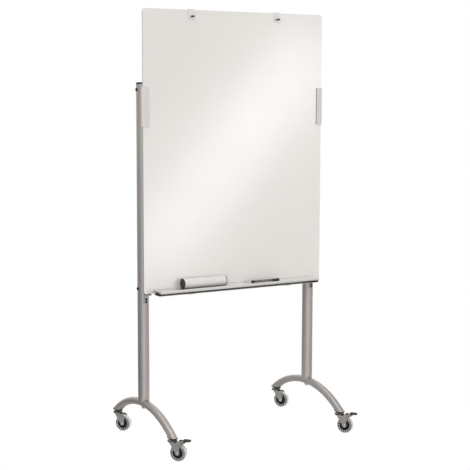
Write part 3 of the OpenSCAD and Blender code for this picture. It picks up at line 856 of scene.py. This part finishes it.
class WB_OT_clamps(BuildStep):
    """Build the side clamps with their spacers and screws, and the rests under the panel"""

    bl_idname = "wb.clamps"
    bl_label = "Clamps and rests"

    def make(self, sizes, finish, mats):
        edge = sizes.sheet_edge
        lo, hi = low("clamp_right"), high("clamp_right")
        wall = 2.5 * MM
        outer, back, front = hi[0] - wall / 2, hi[1] - wall / 2, lo[1] + wall / 2
        lip = low("clamp_right")[0]
        heel = POST_X - 12 * MM
        for side, sign in SIDES.items():
            inner = max(lip, outer - 28.75 * MM)
            line = np.array([[inner, front], [outer, front], [outer, back], [heel, back]])
            outline = strip(line * [sign, 1], wall, 2.2 * MM)
            rings = slab(outline, lo[2], hi[2], "z", edge)
            build(f"side_clamp_{side}", [rings], mats["clamp"], "root", [f"clamp_{side}"])
        spacers, screws = [], []
        z_mid = self.screw_heights()
        y0, y1 = low("clamp_spacers")[1], high("clamp_spacers")[1]
        head_y = POST_R + 0.1 * MM
        for s in SIDES.values():
            for z in z_mid:
                ring = eased([(y0, 0), (y0, 11 * MM), (y1, 11 * MM), (y1, 0)], [0, 0.8 * MM, 0.3 * MM, 0])
                spacers.append(lathe(ring, (s * POST_X, 0, z), (0, 1, 0)))
                screws.append(screw_head((s * POST_X, head_y, z), (0, 1, 0), 6 * MM, 4 * MM, 3.5 * MM))
        build("clamp_spacer_set", spacers, mats["tray"], "root", ["clamp_spacers"])
        build("clamp_screw_set", screws, mats["bolt"], "root", ["clamp_screws"])
        self.rests(sizes, mats)

    def screw_heights(self):
        """Heights of the two clamp screws, from the box of their spacers."""
        radius = 11 * MM
        return low("clamp_spacers")[2] + radius, high("clamp_spacers")[2] - radius

    def rests(self, sizes, mats):
        lo, hi = low("board_rest_brackets"), high("board_rest_brackets")
        plate = 4 * MM
        face = hi[1] - plate / 2
        seat = hi[2] - plate / 2
        brackets, bolts, pads = [], [], []
        pad_lo, pad_hi = low("board_rest_pads"), high("board_rest_pads")
        bolt_lo, bolt_hi = low("board_rest_bolts"), high("board_rest_bolts")
        for s in SIDES.values():
            x = s * POST_X
            half = 10 * MM
            outline = strip([[face, lo[2]], [face, seat], [lo[1], seat]], plate, 3.2 * MM)
            brackets.append(slab(outline, x - half, x + half, "x", sizes.sheet_edge))
            pad = rounded_box(pad_hi[1] - pad_lo[1], pad_hi[2] - pad_lo[2], 0.8 * MM, 5,
                              ((pad_hi[1] + pad_lo[1]) / 2, (pad_hi[2] + pad_lo[2]) / 2))
            pads.append(slab(pad, x - half, x + half, "x", 0.6 * MM))
            for z in (bolt_lo[2] + 5.2 * MM, bolt_hi[2] - 5.2 * MM):
                bolts.append(screw_head((x, face - plate / 2, z), (0, -1, 0), 5.2 * MM, 4 * MM, 3 * MM))
        build("rest_brackets", brackets, mats["coat"], "root", ["board_rest_brackets"])
        build("rest_pads", pads, mats["rubber"], "root", ["board_rest_pads"])
        build("rest_bolts", bolts, mats["oxide"], "root", ["board_rest_bolts"])


class WB_OT_tray(BuildStep):
    """Build the extruded pen tray with its end caps, arms and screws"""

    bl_idname = "wb.tray"
    bl_label = "Pen tray"

    def make(self, sizes, finish, mats):
        lo, hi = low("tray"), high("tray")
        front, back, base, lip = lo[1], hi[1], lo[2], hi[2]
        floor = lip - 3 * MM
        m = MM
        nose = front + 9 * m
        corners = [
            [back, floor], [nose, floor], [front + 7 * m, lip], [front, lip], [front, floor - 9 * m],
            [nose, floor - 9 * m], [front + 39 * m, floor - 2.7 * m], [front + 61.3 * m, base + 2 * m],
            [nose, base + 2 * m], [nose, base], [front + 64.5 * m, base], [front + 43 * m, floor - 2.2 * m],
            [back, floor - 2.2 * m],
        ]
        radii = mm([0.6, 1.2, 1.0, 4.5, 4.5, 1.2, 1.0, 0.8, 0.6, 0.6, 0.8, 1.0, 0.6])
        outline = filleted(corners, radii, 7)
        build("pen_tray", [slab(outline, lo[0], hi[0], "x", 0.4 * m)], mats["tray"], "root", ["tray"])
        cap_base = base + 2.2 * m
        cap = filleted([[front + 60 * m, cap_base], [front + 9.2 * m, cap_base],
                        [front + 9.2 * m, floor - 9.3 * m], [front + 38.6 * m, floor - 3.1 * m]],
                       [0.8 * m, 1.2 * m, 1.2 * m, 1.5 * m], 5)
        end = high("tray_end_caps")[0]
        spans = [sorted((s * (end - 11 * m), s * end)) for s in SIDES.values()]
        caps = [slab(cap, *span, "x", sizes.plastic_edge) for span in spans]
        build("tray_plugs", caps, mats["black"], "root", ["tray_end_caps"])
        self.arms(sizes, mats, front)

    def arms(self, sizes, mats, front):
        lo, hi = low("tray_arms"), high("tray_arms")
        t = 3 * MM
        wall = hi[1] - t / 2
        foot = lo[2] + t / 2
        screws = []
        arms = []
        screw_z = (low("crossbar_lower") + high("crossbar_lower"))[2] / 2
        for s in SIDES.values():
            x0, x1 = sorted((s * hi[0], s * (hi[0] - 30 * MM)))
            outline = strip([[wall, hi[2]], [wall, foot], [lo[1], foot]], t, 3.5 * MM)
            arms.append(slab(outline, x0, x1, "x", sizes.sheet_edge))
            for x in (x0 + 8 * MM, x1 - 8 * MM):
                screws.append(screw_head((x, hi[1] - t, screw_z), (0, -1, 0), 4.5 * MM, 3 * MM, 2.5 * MM))
                screws.append(screw_head((x, front + 30 * MM, lo[2]), (0, 0, -1), 4.5 * MM, 3 * MM, 2.5 * MM))
        build("tray_arm_pair", arms, mats["coat"], "root", ["tray_arms"])
        build("tray_screw_set", screws, mats["bolt"], "root", ["tray_screws"])


# ---------------------------------------------------------------- things on the board


class WB_OT_hooks(BuildStep):
    """Build the two flip-chart hooks, bent from strip, with their domed pegs"""

    bl_idname = "wb.hooks"
    bl_label = "Flip-chart hooks"

    def make(self, sizes, finish, mats):
        for side in SIDES:
            node, peg = f"hook_{side}", f"hook_peg_{side}"
            lo, hi = low(node), high(node)
            t = 2.5 * MM
            gap = 0.3 * MM
            glass_top = high("glass_board")[2]
            tail = glass_top - 26 * MM
            front, back, under = lo[1] + t, hi[1] - t, glass_top + gap
            corners = [[lo[1], lo[2]], [front, lo[2]], [front, under], [back, under], [back, tail],
                       [hi[1], tail], [hi[1], hi[2]], [lo[1], hi[2]]]
            radii = mm([0.9, 0.9, 1.2, 1.2, 0.9, 0.9, 3.6, 3.6])
            rings = slab(filleted(corners, radii, 6), lo[0], hi[0], "x", 0.6 * MM)
            build(f"chart_hook_{side}", [rings], mats["hook"], f"hook_{side}", [node])
            plo, phi = low(peg), high(peg)
            r = 4 * MM
            centre = ((plo[0] + phi[0]) / 2, 0, (plo[2] + phi[2]) / 2)
            tip = plo[1]
            dome = [(tip + r - r * math.sin(a), r * math.cos(a)) for a in np.linspace(math.pi / 2, 0, 9)]
            groove = zip(lo[1] - mm([2.2, 2.0, 1.4, 1.2]), (r, r * 0.9, r * 0.9, r))
            profile = dome + list(groove) + [(phi[1], r), (phi[1], 0)]
            turned = lathe(profile, centre, (0, 1, 0), 40)
            build(f"chart_peg_{side}", [turned], mats["black"], f"hook_{side}", [peg])


class WB_OT_eraser(BuildStep):
    """Build the eraser: aluminium barrel, felt sole and two dished end caps"""

    bl_idname = "wb.eraser"
    bl_label = "Eraser"

    def make(self, sizes, finish, mats):
        lo, hi = low("eraser_end_caps"), high("eraser_end_caps")
        blo, bhi = low("eraser_barrel"), high("eraser_barrel")
        r = (hi[2] - lo[2]) / 2
        centre = np.array([(lo[1] + hi[1]) / 2, (lo[2] + hi[2]) / 2])
        part = blo[2] - centre[1]
        dip = math.degrees(math.asin(part / r))
        flat = [[-r * 0.9, part], [r * 0.9, part]]
        shell = np.concatenate([arc((0, 0), r, dip + 1.2, 178.8 - dip, 72), flat])
        barrel = slab(shell + centre, blo[0], bhi[0], "x", 0.25 * MM)
        build("eraser_shell", [barrel], mats["eraser"], "eraser", ["eraser_barrel"])
        sole = self.sole(centre, r, part, blo[0], bhi[0])
        build("eraser_sole", [sole], mats["felt"], "eraser", ["eraser_felt"])
        depth = mm([0, 0, 4, 4, 3.1, 2.9, 3.5, 3.5])
        dish = np.stack([depth, r * np.array([0, 1, 1, 0.84, 0.78, 0.2, 0.12, 0])], -1)
        profile = eased(dish, mm([0, 0.2, 1.1, 0.5, 0.6, 0.5, 0.4, 0]))
        ends = [lathe(profile, (blo[0], *centre), (-1, 0, 0)), lathe(profile, (bhi[0], *centre), (1, 0, 0))]
        build("eraser_ends", ends, mats["black"], "eraser", ["eraser_end_caps"])

    def sole(self, centre, r, part, x0, x1):
        """The felt: the lower segment of the circle, shrunk a little and ruffled by summed sines."""
        rim = r - 0.5 * MM
        dip = math.degrees(math.asin((part - 0.4 * MM) / rim))
        lower = arc((0, 0), rim, 180 - dip, 360 + dip, 60)
        section = np.concatenate([lower, np.stack([np.linspace(lower[-1, 0], lower[0, 0], 24)[1:-1],
                                                   np.full(22, lower[0, 1])], -1)])
        x = np.linspace(x0 + 0.3 * MM, x1 - 0.3 * MM, 161)
        u = x[:, None] * 1900
        v = np.arange(len(section))[None] * 1.9
        waves = np.sin(u + 2 * np.sin(v)) + np.sin(0.61 * u - 1.7 * v) + np.sin(0.23 * u + 3.1 * v)
        grow = 1 + 0.14 * MM * waves / 3 / r
        rings = np.empty((len(x), len(section), 3))
        rings[..., 0] = x[:, None]
        rings[..., 1] = centre[0] + section[:, 0] * grow
        rings[..., 2] = centre[1] + section[:, 1] * grow
        return rings


class WB_OT_marker(BuildStep):
    """Build the marker: end plug, barrel and pull-off cap with flutes"""

    bl_idname = "wb.marker"
    bl_label = "Marker"

    def make(self, sizes, finish, mats):
        plo, phi = low("marker_plug"), high("marker_plug")
        blo, bhi = low("marker_barrel"), high("marker_barrel")
        clo, chi = low("marker_cap"), high("marker_cap")
        r = (phi[2] - plo[2]) / 2
        y, z = (plo[1] + phi[1]) / 2, (plo[2] + phi[2]) / 2
        m = MM
        groove = zip(phi[0] - mm([4, 3.8, 3.2, 3]), (r, r - 0.5 * m, r - 0.5 * m, r))
        plug = [(plo[0], 0), (plo[0], r - 1.4 * m), (plo[0] + 1.2 * m, r), *groove, (phi[0], r), (phi[0], 0)]
        plug = eased(plug, mm([0, 0.8, 1.5, 0.1, 0.1, 0.1, 0.1, 0.3, 0]))
        build("marker_end_plug", [lathe(plug, (0, y, z), (1, 0, 0))], mats["cap"], "marker", ["marker_plug"])
        body = (bhi[2] - blo[2]) / 2
        shoulder = clo[0] - 0.3 * m
        neck = 4.1 * m
        barrel = [(blo[0], 0), (blo[0], body), (shoulder, body), (shoulder, neck), (bhi[0], neck), (bhi[0], 0)]
        barrel = lathe(eased(barrel, mm([0, 0.2, 0.3, 0.2, 0.6, 0])), (0, y, z), (1, 0, 0))
        build("marker_body", [barrel], mats["marker"], "marker", ["marker_barrel"])
        bore = 4.45 * m
        grip = [(clo[0], bore), (clo[0], r), (clo[0] + 2 * m, r), (clo[0] + 2.3 * m, r)]
        flutes = [(chi[0] - 14 * m, r), (chi[0] - 13 * m, r), (chi[0] - 3 * m, r), (chi[0] - 2.4 * m, r)]
        nose = [*zip(chi[0] - mm([1.4, 0.3, 0]), r - mm([0.2, 1.1, 2.2])), (chi[0], 0)]
        inside = [(chi[0] - 6 * m, 0), (chi[0] - 6 * m, bore), (clo[0], bore)]
        rows = grip + flutes + nose + inside
        first = len(grip) + 1

        def fluting(turn, row):
            """Sixteen shallow flutes on two rows of the cap."""
            groove = 1 - 0.05 * (0.5 - 0.5 * np.cos(16 * turn))
            return np.where((row >= first) & (row <= first + 1), groove, 1.0)

        cap = lathe(rows, (0, y, z), (1, 0, 0), 128, fluting)
        build("marker_pull_cap", [cap], mats["cap"], "marker_cap", ["marker_cap"])


# ---------------------------------------------------------------- casters


class WB_OT_casters(BuildStep):
    """Build the four casters: races, forks, axles, wheel cores and clear treads"""

    bl_idname = "wb.casters"
    bl_label = "Casters"

    def make(self, sizes, finish, mats):
        races, shields = [], []
        for name in CORNERS:
            swivel, spin = JOINTS[f"swivel_{name}"], JOINTS[f"spin_{name}"]
            stem = np.array([*swivel["pos_m"][:2], 0.0])
            hub = np.array(spin["pos_m"])
            across = np.array(spin["axis"])
            along = np.cross(across, [0, 0, 1])
            races += self.race(stem)
            shields.append(self.shield(stem))
            self.fork(name, stem, along, across, sizes, mats)
            self.axle(name, hub, across, mats)
            self.wheel(name, hub, along, across, sizes, mats)
        build("caster_races", races, mats["caster"], "root", ["caster_stems"])
        build("dust_skirts", [], mats["black"], "root", ["caster_dust_shields"], hoops=shields)

    def race(self, stem):
        """Upper race with a pressed groove, its hexagon and the riveted king pin."""
        top, tail, z = low("foot_end_plugs")[2], low("caster_stems")[2], 88.3 * MM
        m = MM
        plate = mm([(0, 0), (0, 22), (1.6, 22), (2.2, 19.5), (3.2, 18), (4.0, 15.5), (4.2, 9), (4.2, 0)])
        plate = eased(plate + [z, 0], mm([0, 0.5, 0.8, 0.8, 0.8, 1.5, 0.1, 0]))
        pin = [(tail, 0), (tail, 7.5 * m), (tail + 1.5 * m, 9 * m)]
        pin += mm([(79.7, 9), (79.7, 6), (89.3, 6), (89.3, 0)]).tolist()
        pin = eased(pin, mm([0, 1.5, 0.6, 0.1, 0.1, 0.1, 0]))
        nut = hex_head(stem, (0, 0, 1), z + 4.2 * m, 17 * m, top - z - 4.2 * m)
        stud = lathe([(top - 0.5 * m, 4.9 * m), (high("caster_stems")[2], 4.9 * m)], stem)
        return [lathe(plate, stem), lathe(pin, stem), nut, stud]

    def shield(self, stem):
        """A thin skirt with a rolled lower edge."""
        lo, hi = low("caster_dust_shields")[2], high("caster_dust_shields")[2]
        section = filleted([[lo, 20.1 * MM], [hi, 20.1 * MM], [hi, 21.7 * MM], [lo, 21.7 * MM]],
                           [0.5 * MM, 0.1 * MM, 0.3 * MM, 0.7 * MM], 4)
        return lathe(section, stem)

    def fork(self, name, stem, along, across, sizes, mats):
        """A fork pressed from one sheet; the front ones have two ears that carry the brake.

        The sheet's section, a rounded bar as wide as the fork is at that height, is carried up one
        cheek, over the crown and down the other. The cheek narrows to a half circle round the axle.
        """
        m = MM
        hub = np.array([29.0, 37.5]) * m
        boss, crown, half, t = 10 * m, 81.5 * m, 15.75 * m, 2.6 * m
        line = filleted([[-half, hub[1] - boss], [-half, crown], [half, crown], [half, hub[1] - boss]],
                        [0, 4.5 * m, 4.5 * m, 0], 8, closed=False)
        steps = np.concatenate([[0], np.cumsum(np.linalg.norm(np.diff(line, axis=0), axis=1))])
        s = np.linspace(0, math.pi, 161)
        s = steps[-1] * (1 - np.cos(s)) / 2
        path = np.stack([np.interp(s, steps, line[:, 0]), np.interp(s, steps, line[:, 1])], -1)
        normal = mitres(path, closed=False)
        normal /= np.linalg.norm(normal, axis=1, keepdims=True)
        y, z = path.T
        drop = np.clip(hub[1] - z, -boss, boss)
        tip = np.sqrt(np.maximum(boss**2 - drop**2, 0))
        lean = np.clip((z - hub[1]) / (68 * m - hub[1]), 0, 1)
        back = np.where(z < hub[1], hub[0] - tip, hub[0] - boss - (hub[0] - boss) * lean)
        back = back - 6 * m * np.clip((z - 68 * m) / (10 * m), 0, 1)
        back = back - 12 * m * np.sqrt(np.clip(1 - (y / half) ** 2, 0, 1)) * (z > crown - 1 * m)
        front = np.where(z < hub[1], hub[0] + tip, hub[0] + boss)
        front = front - 12 * m * np.clip((z - 74 * m) / (7 * m), 0, 1) ** 2
        e = sizes.sheet_edge
        bar = rounded_box(2, 2, 0.35, 3)
        width = (front - back) / 2
        middle = (front + back) / 2
        rings = np.empty((len(path), len(bar), 3))
        rounding = (1 - np.abs(bar[:, 0])) * (e / 0.35) / np.maximum(width, e)[:, None]
        corner_x = np.sign(bar[:, 0]) * (1 - rounding)
        rings[..., 0] = middle[:, None] + width[:, None] * np.clip(corner_x, -1, 1)
        offset = bar[:, 1] * t / 2
        rings[..., 1] = y[:, None] + normal[:, 0:1] * offset
        rings[..., 2] = z[:, None] + normal[:, 1:2] * offset
        ear = mm([[20, 70], [39, 70], [45.5, 77], [45.5, 89], [27, 89], [20, 80]])
        ear = filleted(ear, mm([1, 3, 3, 5, 4, 1]), 6)
        ears = [slab(ear[:, ::-1], *sorted((q * 14.4 * m, q * 16.9 * m)), "y", e)
                for q in (-1, 1) if name.startswith("front")]
        race = lathe(eased(mm([(80, 6.1), (80, 19), (86, 19.6), (88, 19), (88, 6.1)]), mm([0, 1, 1, 0.8, 0])))
        boss_profile = eased(mm([(14.2, 0), (14.2, 7.5), (17.5, 7), (17.5, 0)]), mm([0, 0.1, 0.5, 0]))
        bosses = [lathe(boss_profile, (hub[0], 0, hub[1]), (0, q, 0)) for q in (-1, 1)]
        solids = [placed(r, stem, along, across) for r in [rings, *ears, race, *bosses]]
        build(f"caster_fork_{name}", solids, mats["caster"], f"caster_{name}", [f"fork_{name}"])

    def axle(self, name, hub, across, mats):
        """Axle bolt with a socket head on one side and a chamfered nut on the other."""
        m = MM
        shaft = lathe([(-17 * m, 4 * m), (17 * m, 4 * m)], hub, across)
        head = screw_head(hub - across * 17 * m, -across, 6.5 * m, 3 * m, 5.2 * m)
        nut = hex_head(hub, across, 17 * m, 13 * m, 4 * m)
        tip = eased(mm([(20, 0), (20, 4), (22, 3.6), (22, 0)]), mm([0, 0, 0.6, 0]))
        solids = [shaft, head, nut, lathe(tip, hub, across)]
        build(f"axle_bolt_{name}", solids, mats["bolt"], f"caster_{name}", [f"wheel_axle_{name}"])

    def wheel(self, name, hub, along, across, sizes, mats):
        """Core of a hub, a dished web and a ring of eyelets, inside a clear tread with a crowned face."""
        m = MM
        body = f"wheel_{name}"
        bush = mm([(-14, 4.06), (-14, 8.5), (-12, 10), (-5, 10.5), (-3.2, 13), (-3, 18), (-10.2, 20.8),
                   (-10.2, 24.2)])
        easing = mm([0, 0.6, 1, 2, 2, 1.5, 0.8, 0.4])
        web = eased(np.concatenate([bush, bush[::-1] * [-1, 1]]), np.concatenate([easing, easing[::-1]]))
        core = [lathe(web, hub, across, 96)]
        eyelet = rounded_box(22 * m, 4.1 * m, 0.7 * m, 3, (0, 5.05 * m))
        hoops = []
        for i in range(sizes.eyelets):
            turn = 2 * math.pi * i / sizes.eyelets
            spoke = along * math.cos(turn) + np.array([0, 0, 1.0]) * math.sin(turn)
            hoops.append(lathe(eyelet, hub + spoke * 27.4 * m, across, 24))
        ribs = []
        for i in range(sizes.eyelets // 2):
            turn = 2 * math.pi * (i + 0.5) / (sizes.eyelets // 2)
            spoke = along * math.cos(turn) + np.array([0, 0, 1.0]) * math.sin(turn)
            rib = slab(rounded_box(1.6 * m, 10 * m, 0.5 * m, 2), 9.5 * m, 20.5 * m, "z", 0.4 * m)
            ribs.append(placed(rib, hub, np.cross(across, spoke), across))
        build(f"wheel_centre_{name}", core + ribs, mats["core"], body, [f"wheel_core_{name}"], hoops=hoops)
        half = mm([[10.7, 23.6], [10.7, 33.8], [11.7, 34.4], [12, 35.6], [5, 37.6]])
        rounding = mm([0.4, 0.6, 0.5, 0.8, 9])
        rounding = np.concatenate([rounding, rounding[::-1]])
        tread = filleted(np.concatenate([half * [-1, 1], half[::-1]]), rounding, 6)
        radius = high(f"wheel_tread_{name}")[2] - hub[2]
        tread[:, 1] *= radius / tread[:, 1].max()
        build(f"wheel_tyre_{name}", [], mats["tread"], body, [f"wheel_tread_{name}"],
              hoops=[lathe(tread, hub, across, 96)])


class WB_OT_brakes(BuildStep):
    """Build the brake arms, ribbed pedals and pivot pins of the front casters"""

    bl_idname = "wb.brakes"
    bl_label = "Brakes"

    def make(self, sizes, finish, mats):
        m = MM
        for side in SIDES:
            name = f"front_{side}"
            stem = np.array([*JOINTS[f"swivel_{name}"]["pos_m"][:2], 0.0])
            across = np.array(JOINTS[f"spin_{name}"]["axis"])
            along = np.cross(across, [0, 0, 1])
            body = f"brake_{side}"
            cheek = mm([[35.5, 78], [40, 76.5], [48, 73.5], [56, 79], [66, 84], [66, 89], [46, 89],
                        [38, 87.5], [34.6, 84]])
            cheek = filleted(cheek, mm([2, 2, 3, 2, 1.5, 1.2, 3, 3, 2]), 5)
            arm = [slab(cheek[:, ::-1], q, q + 2 * m, "y", sizes.sheet_edge) for q in (-12 * m, 10 * m)]
            plate = rounded_box(20 * m, 24 * m, 3 * m, 6, (56 * m, 0))
            arm.append(slab(plate, 86 * m, 89 * m, "z", sizes.sheet_edge))
            arm.append(rod(*mm([-12, 12, 2.5, 0.5]), mm([48, 0, 76]), (0, 1, 0), 32))
            arm = [placed(r, stem, along, across) for r in arm]
            build(f"brake_lever_{side}", arm, mats["caster"], body, [f"brake_arm_{side}"])
            pad = rounded_box(33 * m, 21 * m, 5 * m, 8, (68.2 * m, 0))
            pedal = [slab(pad, 89.05 * m, 96.5 * m, "z", 1.8 * m, 5)]
            for i in range(6):
                rib = rounded_box(1.8 * m, 15 * m, 0.8 * m, 4, ((57.2 + 4.4 * i) * m, 0))
                pedal.append(slab(rib, 95.5 * m, 97.5 * m, "z", 0.6 * m))
            pedal = [placed(r, stem, along, across) for r in pedal]
            build(f"brake_tread_{side}", pedal, mats["pedal"], body, [f"brake_pedal_{side}"])
            pin = rod(*mm([-18.5, 18.5, 2.5, 0.6]), mm([40, 0, 82]), (0, 1, 0), 32)
            pin = placed(pin, stem, along, across)
            build(f"brake_pivot_{side}", [pin], mats["bolt"], f"caster_{name}", [f"brake_pin_{side}"])


class WB_OT_hidden(BuildStep):
    """Give the small frame parts that stay as they are their finishes"""

    bl_idname = "wb.hidden"
    bl_label = "Hidden parts"

    def make(self, sizes, finish, mats):
        chosen = {
            "stem_inserts": "brass", "post_foot_nuts": "bolt", "clamp_liners": "rubber", "marker_tip": "nib"
        }
        for node, material in chosen.items():
            data = frame["nodes"][node].data
            data.materials.clear()
            data.materials.append(mats[material])


# ---------------------------------------------------------------- camera, lamps and floor


def only(lamp, label, *pieces):
    """Keeps a lamp's light to the pieces named."""
    lit = bpy.data.collections.new(label)
    for name in pieces:
        lit.objects.link(bpy.data.objects[name])
    lamp.light_linking.receiver_collection = lit


class WB_OT_stage(Operator):
    """Set up the camera, the soft studio lamps, the pale floor and the white surround"""

    bl_idname = "wb.stage"
    bl_label = "Studio"

    def execute(self, context):
        stage = settings()[2]
        self.camera(stage)
        self.floor()
        self.lamps(stage)
        self.surround()
        bpy.context.scene.view_settings.view_transform = "Standard"
        return {"FINISHED"}

    def camera(self, stage):
        data = bpy.data.cameras.new("camera")
        data.lens = stage.lens
        data.sensor_width = 36
        camera = bpy.data.objects.new("camera", data)
        bpy.context.scene.collection.objects.link(camera)
        camera.location = stage.camera_at
        camera.rotation_mode = "QUATERNION"
        upright = self.gaze(stage).to_track_quat("-Z", "Y")
        camera.rotation_quaternion = upright @ Quaternion((0, 0, 1), stage.roll)
        bpy.context.scene.camera = camera

    def gaze(self, stage):
        """Direction of the camera, from its heading and dip."""
        level = math.cos(stage.dip)
        east, north = math.sin(stage.heading), math.cos(stage.heading)
        return Vector((east * level, north * level, -math.sin(stage.dip)))

    def floor(self):
        """A wide disc: rings whose radius grows by an equal factor."""
        turn = np.arange(96) * 2 * math.pi / 96
        radius = np.geomspace(0.5, 60, 14)
        rings = np.zeros((14, 96, 3))
        rings[..., 0] = radius[:, None] * np.cos(turn)
        rings[..., 1] = radius[:, None] * np.sin(turn)
        points, faces = skin(rings)
        mesh = bpy.data.meshes.new("studio_floor")
        mesh.from_pydata(points.tolist(), [], [f[::-1] for f in faces[:-2]] + [faces[-2][::-1]])
        mesh.materials.append(pale_floor())
        floor = bpy.data.objects.new("studio_floor", mesh)
        bpy.context.scene.collection.objects.link(floor)

    def lamp(self, name, at, towards, size, power, spread=180.0):
        data = bpy.data.lights.new(name, "AREA")
        data.shape = "RECTANGLE"
        data.size, data.size_y = size
        data.energy = power
        data.spread = math.radians(spread)
        lamp = bpy.data.objects.new(name, data)
        bpy.context.scene.collection.objects.link(lamp)
        lamp.location = at
        lamp.visible_camera = False
        lamp.rotation_euler = (Vector(towards) - Vector(at)).to_track_quat("-Z", "Y").to_euler()
        return lamp

    def lamps(self, stage):
        k = stage.lamp
        self.lamp("key", (-2.6, -2.6, 3.3), (0, 0, 0.9), (2.0, 2.0), 23 * k)
        self.lamp("fill", (3.6, -3.0, 3.4), (0, 0, 0.8), (2.4, 2.4), 2 * k)
        self.lamp("overhead", (0, 0.5, 5.0), (0, 0, 0), (4, 4), 38 * k, spread=120.0)
        self.band(stage, k)
        rim = self.lamp("rim", (-2.7, 2.2, 1.3), (-0.46, 0, 1.15), (1.0, 1.6), 9 * k)
        only(rim, "lit by the rim lamp", "side_clamp_left")

    def band(self, stage, k):
        """A long soft box whose mirror image crosses the glass from its upper right to its lower left.

        Two corners of the wanted image are mirrored in the plane of the glass and pushed out along
        the mirrored lines of sight, and the lamp lies between them, facing the middle of the panel.
        """
        eye = np.array(stage.camera_at)
        lo, hi = low("glass_board"), high("glass_board")
        plane = lo[1]
        ends = np.array([[hi[0] * 0.78, plane, hi[2] * 0.90], [lo[0] * 0.93, plane, lo[2] * 1.22]])
        away = 3.2
        far = []
        for end in ends:
            ray = (end - eye) / np.linalg.norm(end - eye)
            far.append(end + ray * [1, -1, 1] * away)
        far = np.array(far)
        middle = far.mean(0)
        length = np.linalg.norm(far[0] - far[1])
        facing = Vector((lo + hi) / 2) - Vector(middle)
        z_axis = -facing.normalized()
        y_axis = Vector(far[0] - far[1]).normalized()
        x_axis = y_axis.cross(z_axis).normalized()
        y_axis = z_axis.cross(x_axis)
        lamp = self.lamp("band", tuple(middle), tuple((lo + hi) / 2), (0.40, length * 1.12), 20 * k)
        lamp.rotation_euler = Matrix((x_axis, y_axis, z_axis)).transposed().to_euler()
        only(lamp, "lit by the band", "glass_panel")

    def surround(self):
        """White to the camera, also through clear plastic. Metal sees a studio instead.

        Its strength is set for each compass direction, is blended with one wall above the floor, and
        gives way to a soft ceiling.
        """
        world = bpy.data.worlds.new("surround")
        world.use_nodes = True
        bpy.context.scene.world = world
        net = Finish.__new__(Finish)
        net.tree = world.node_tree
        place = net.add("ShaderNodeTexCoord", {}, {}, "Generated")
        x, y, z = [net.add("ShaderNodeSeparateXYZ", {}, {0: place}, i) for i in range(3)]
        turn = x.math("ARCTAN2", y, x) * (0.5 / math.pi) + 0.5
        stops = [((a + 180) / 360, (v, v, v, 1)) for a, v in ROOM.items()]
        room = net.add("ShaderNodeValToRGB", {"stops": stops}, {0: turn})
        wall = net.blend(z.between(-0.22, -0.06) * 0.6, room, (WALL, WALL, WALL, 1))
        seen = net.blend(z.between(0.3, 0.8), wall, (CEILING, CEILING, CEILING, 1))
        kinds = ("Is Camera Ray", "Is Transmission Ray")
        rays = [net.add("ShaderNodeLightPath", {}, {}, kind) for kind in kinds]
        ray = rays[0].math("MAXIMUM", *rays)
        shader = net.tree.nodes["Background"]
        net.join(shader.inputs["Color"], net.blend(ray, seen, (1, 1, 1, 1)))


class WB_PT_panel(Panel):
    """Sidebar panel that lists the building steps"""

    bl_label = "Whiteboard"
    bl_idname = "WB_PT_panel"
    bl_space_type = "VIEW_3D"
    bl_region_type = "UI"
    bl_category = "Whiteboard"

    def draw(self, context):
        for group in settings():
            box = self.layout.box()
            for name in group.__annotations__:
                box.prop(group, name)
        for step in STEPS:
            self.layout.operator(step.bl_idname)


GROUPS = {"wb_sizes": BoardSizes, "wb_finish": BoardFinish, "wb_stage": BoardStage}
STEPS = (
    WB_OT_glass,
    WB_OT_posts,
    WB_OT_crossbars,
    WB_OT_clamps,
    WB_OT_tray,
    WB_OT_hooks,
    WB_OT_eraser,
    WB_OT_marker,
    WB_OT_casters,
    WB_OT_brakes,
    WB_OT_hidden,
    WB_OT_stage,
)


def register():
    for cls in (*GROUPS.values(), *STEPS, WB_PT_panel):
        bpy.utils.register_class(cls)
    for name, group in GROUPS.items():
        setattr(bpy.types.Scene, name, PointerProperty(type=group))


def unregister():
    for name in GROUPS:
        delattr(bpy.types.Scene, name)
    for cls in reversed((*GROUPS.values(), *STEPS, WB_PT_panel)):
        bpy.utils.unregister_class(cls)


def main():
    register()
    for step in STEPS:
        name = step.bl_idname.split(".")[1]
        getattr(bpy.ops.wb, name)()


if __name__ == "__main__":
    main()
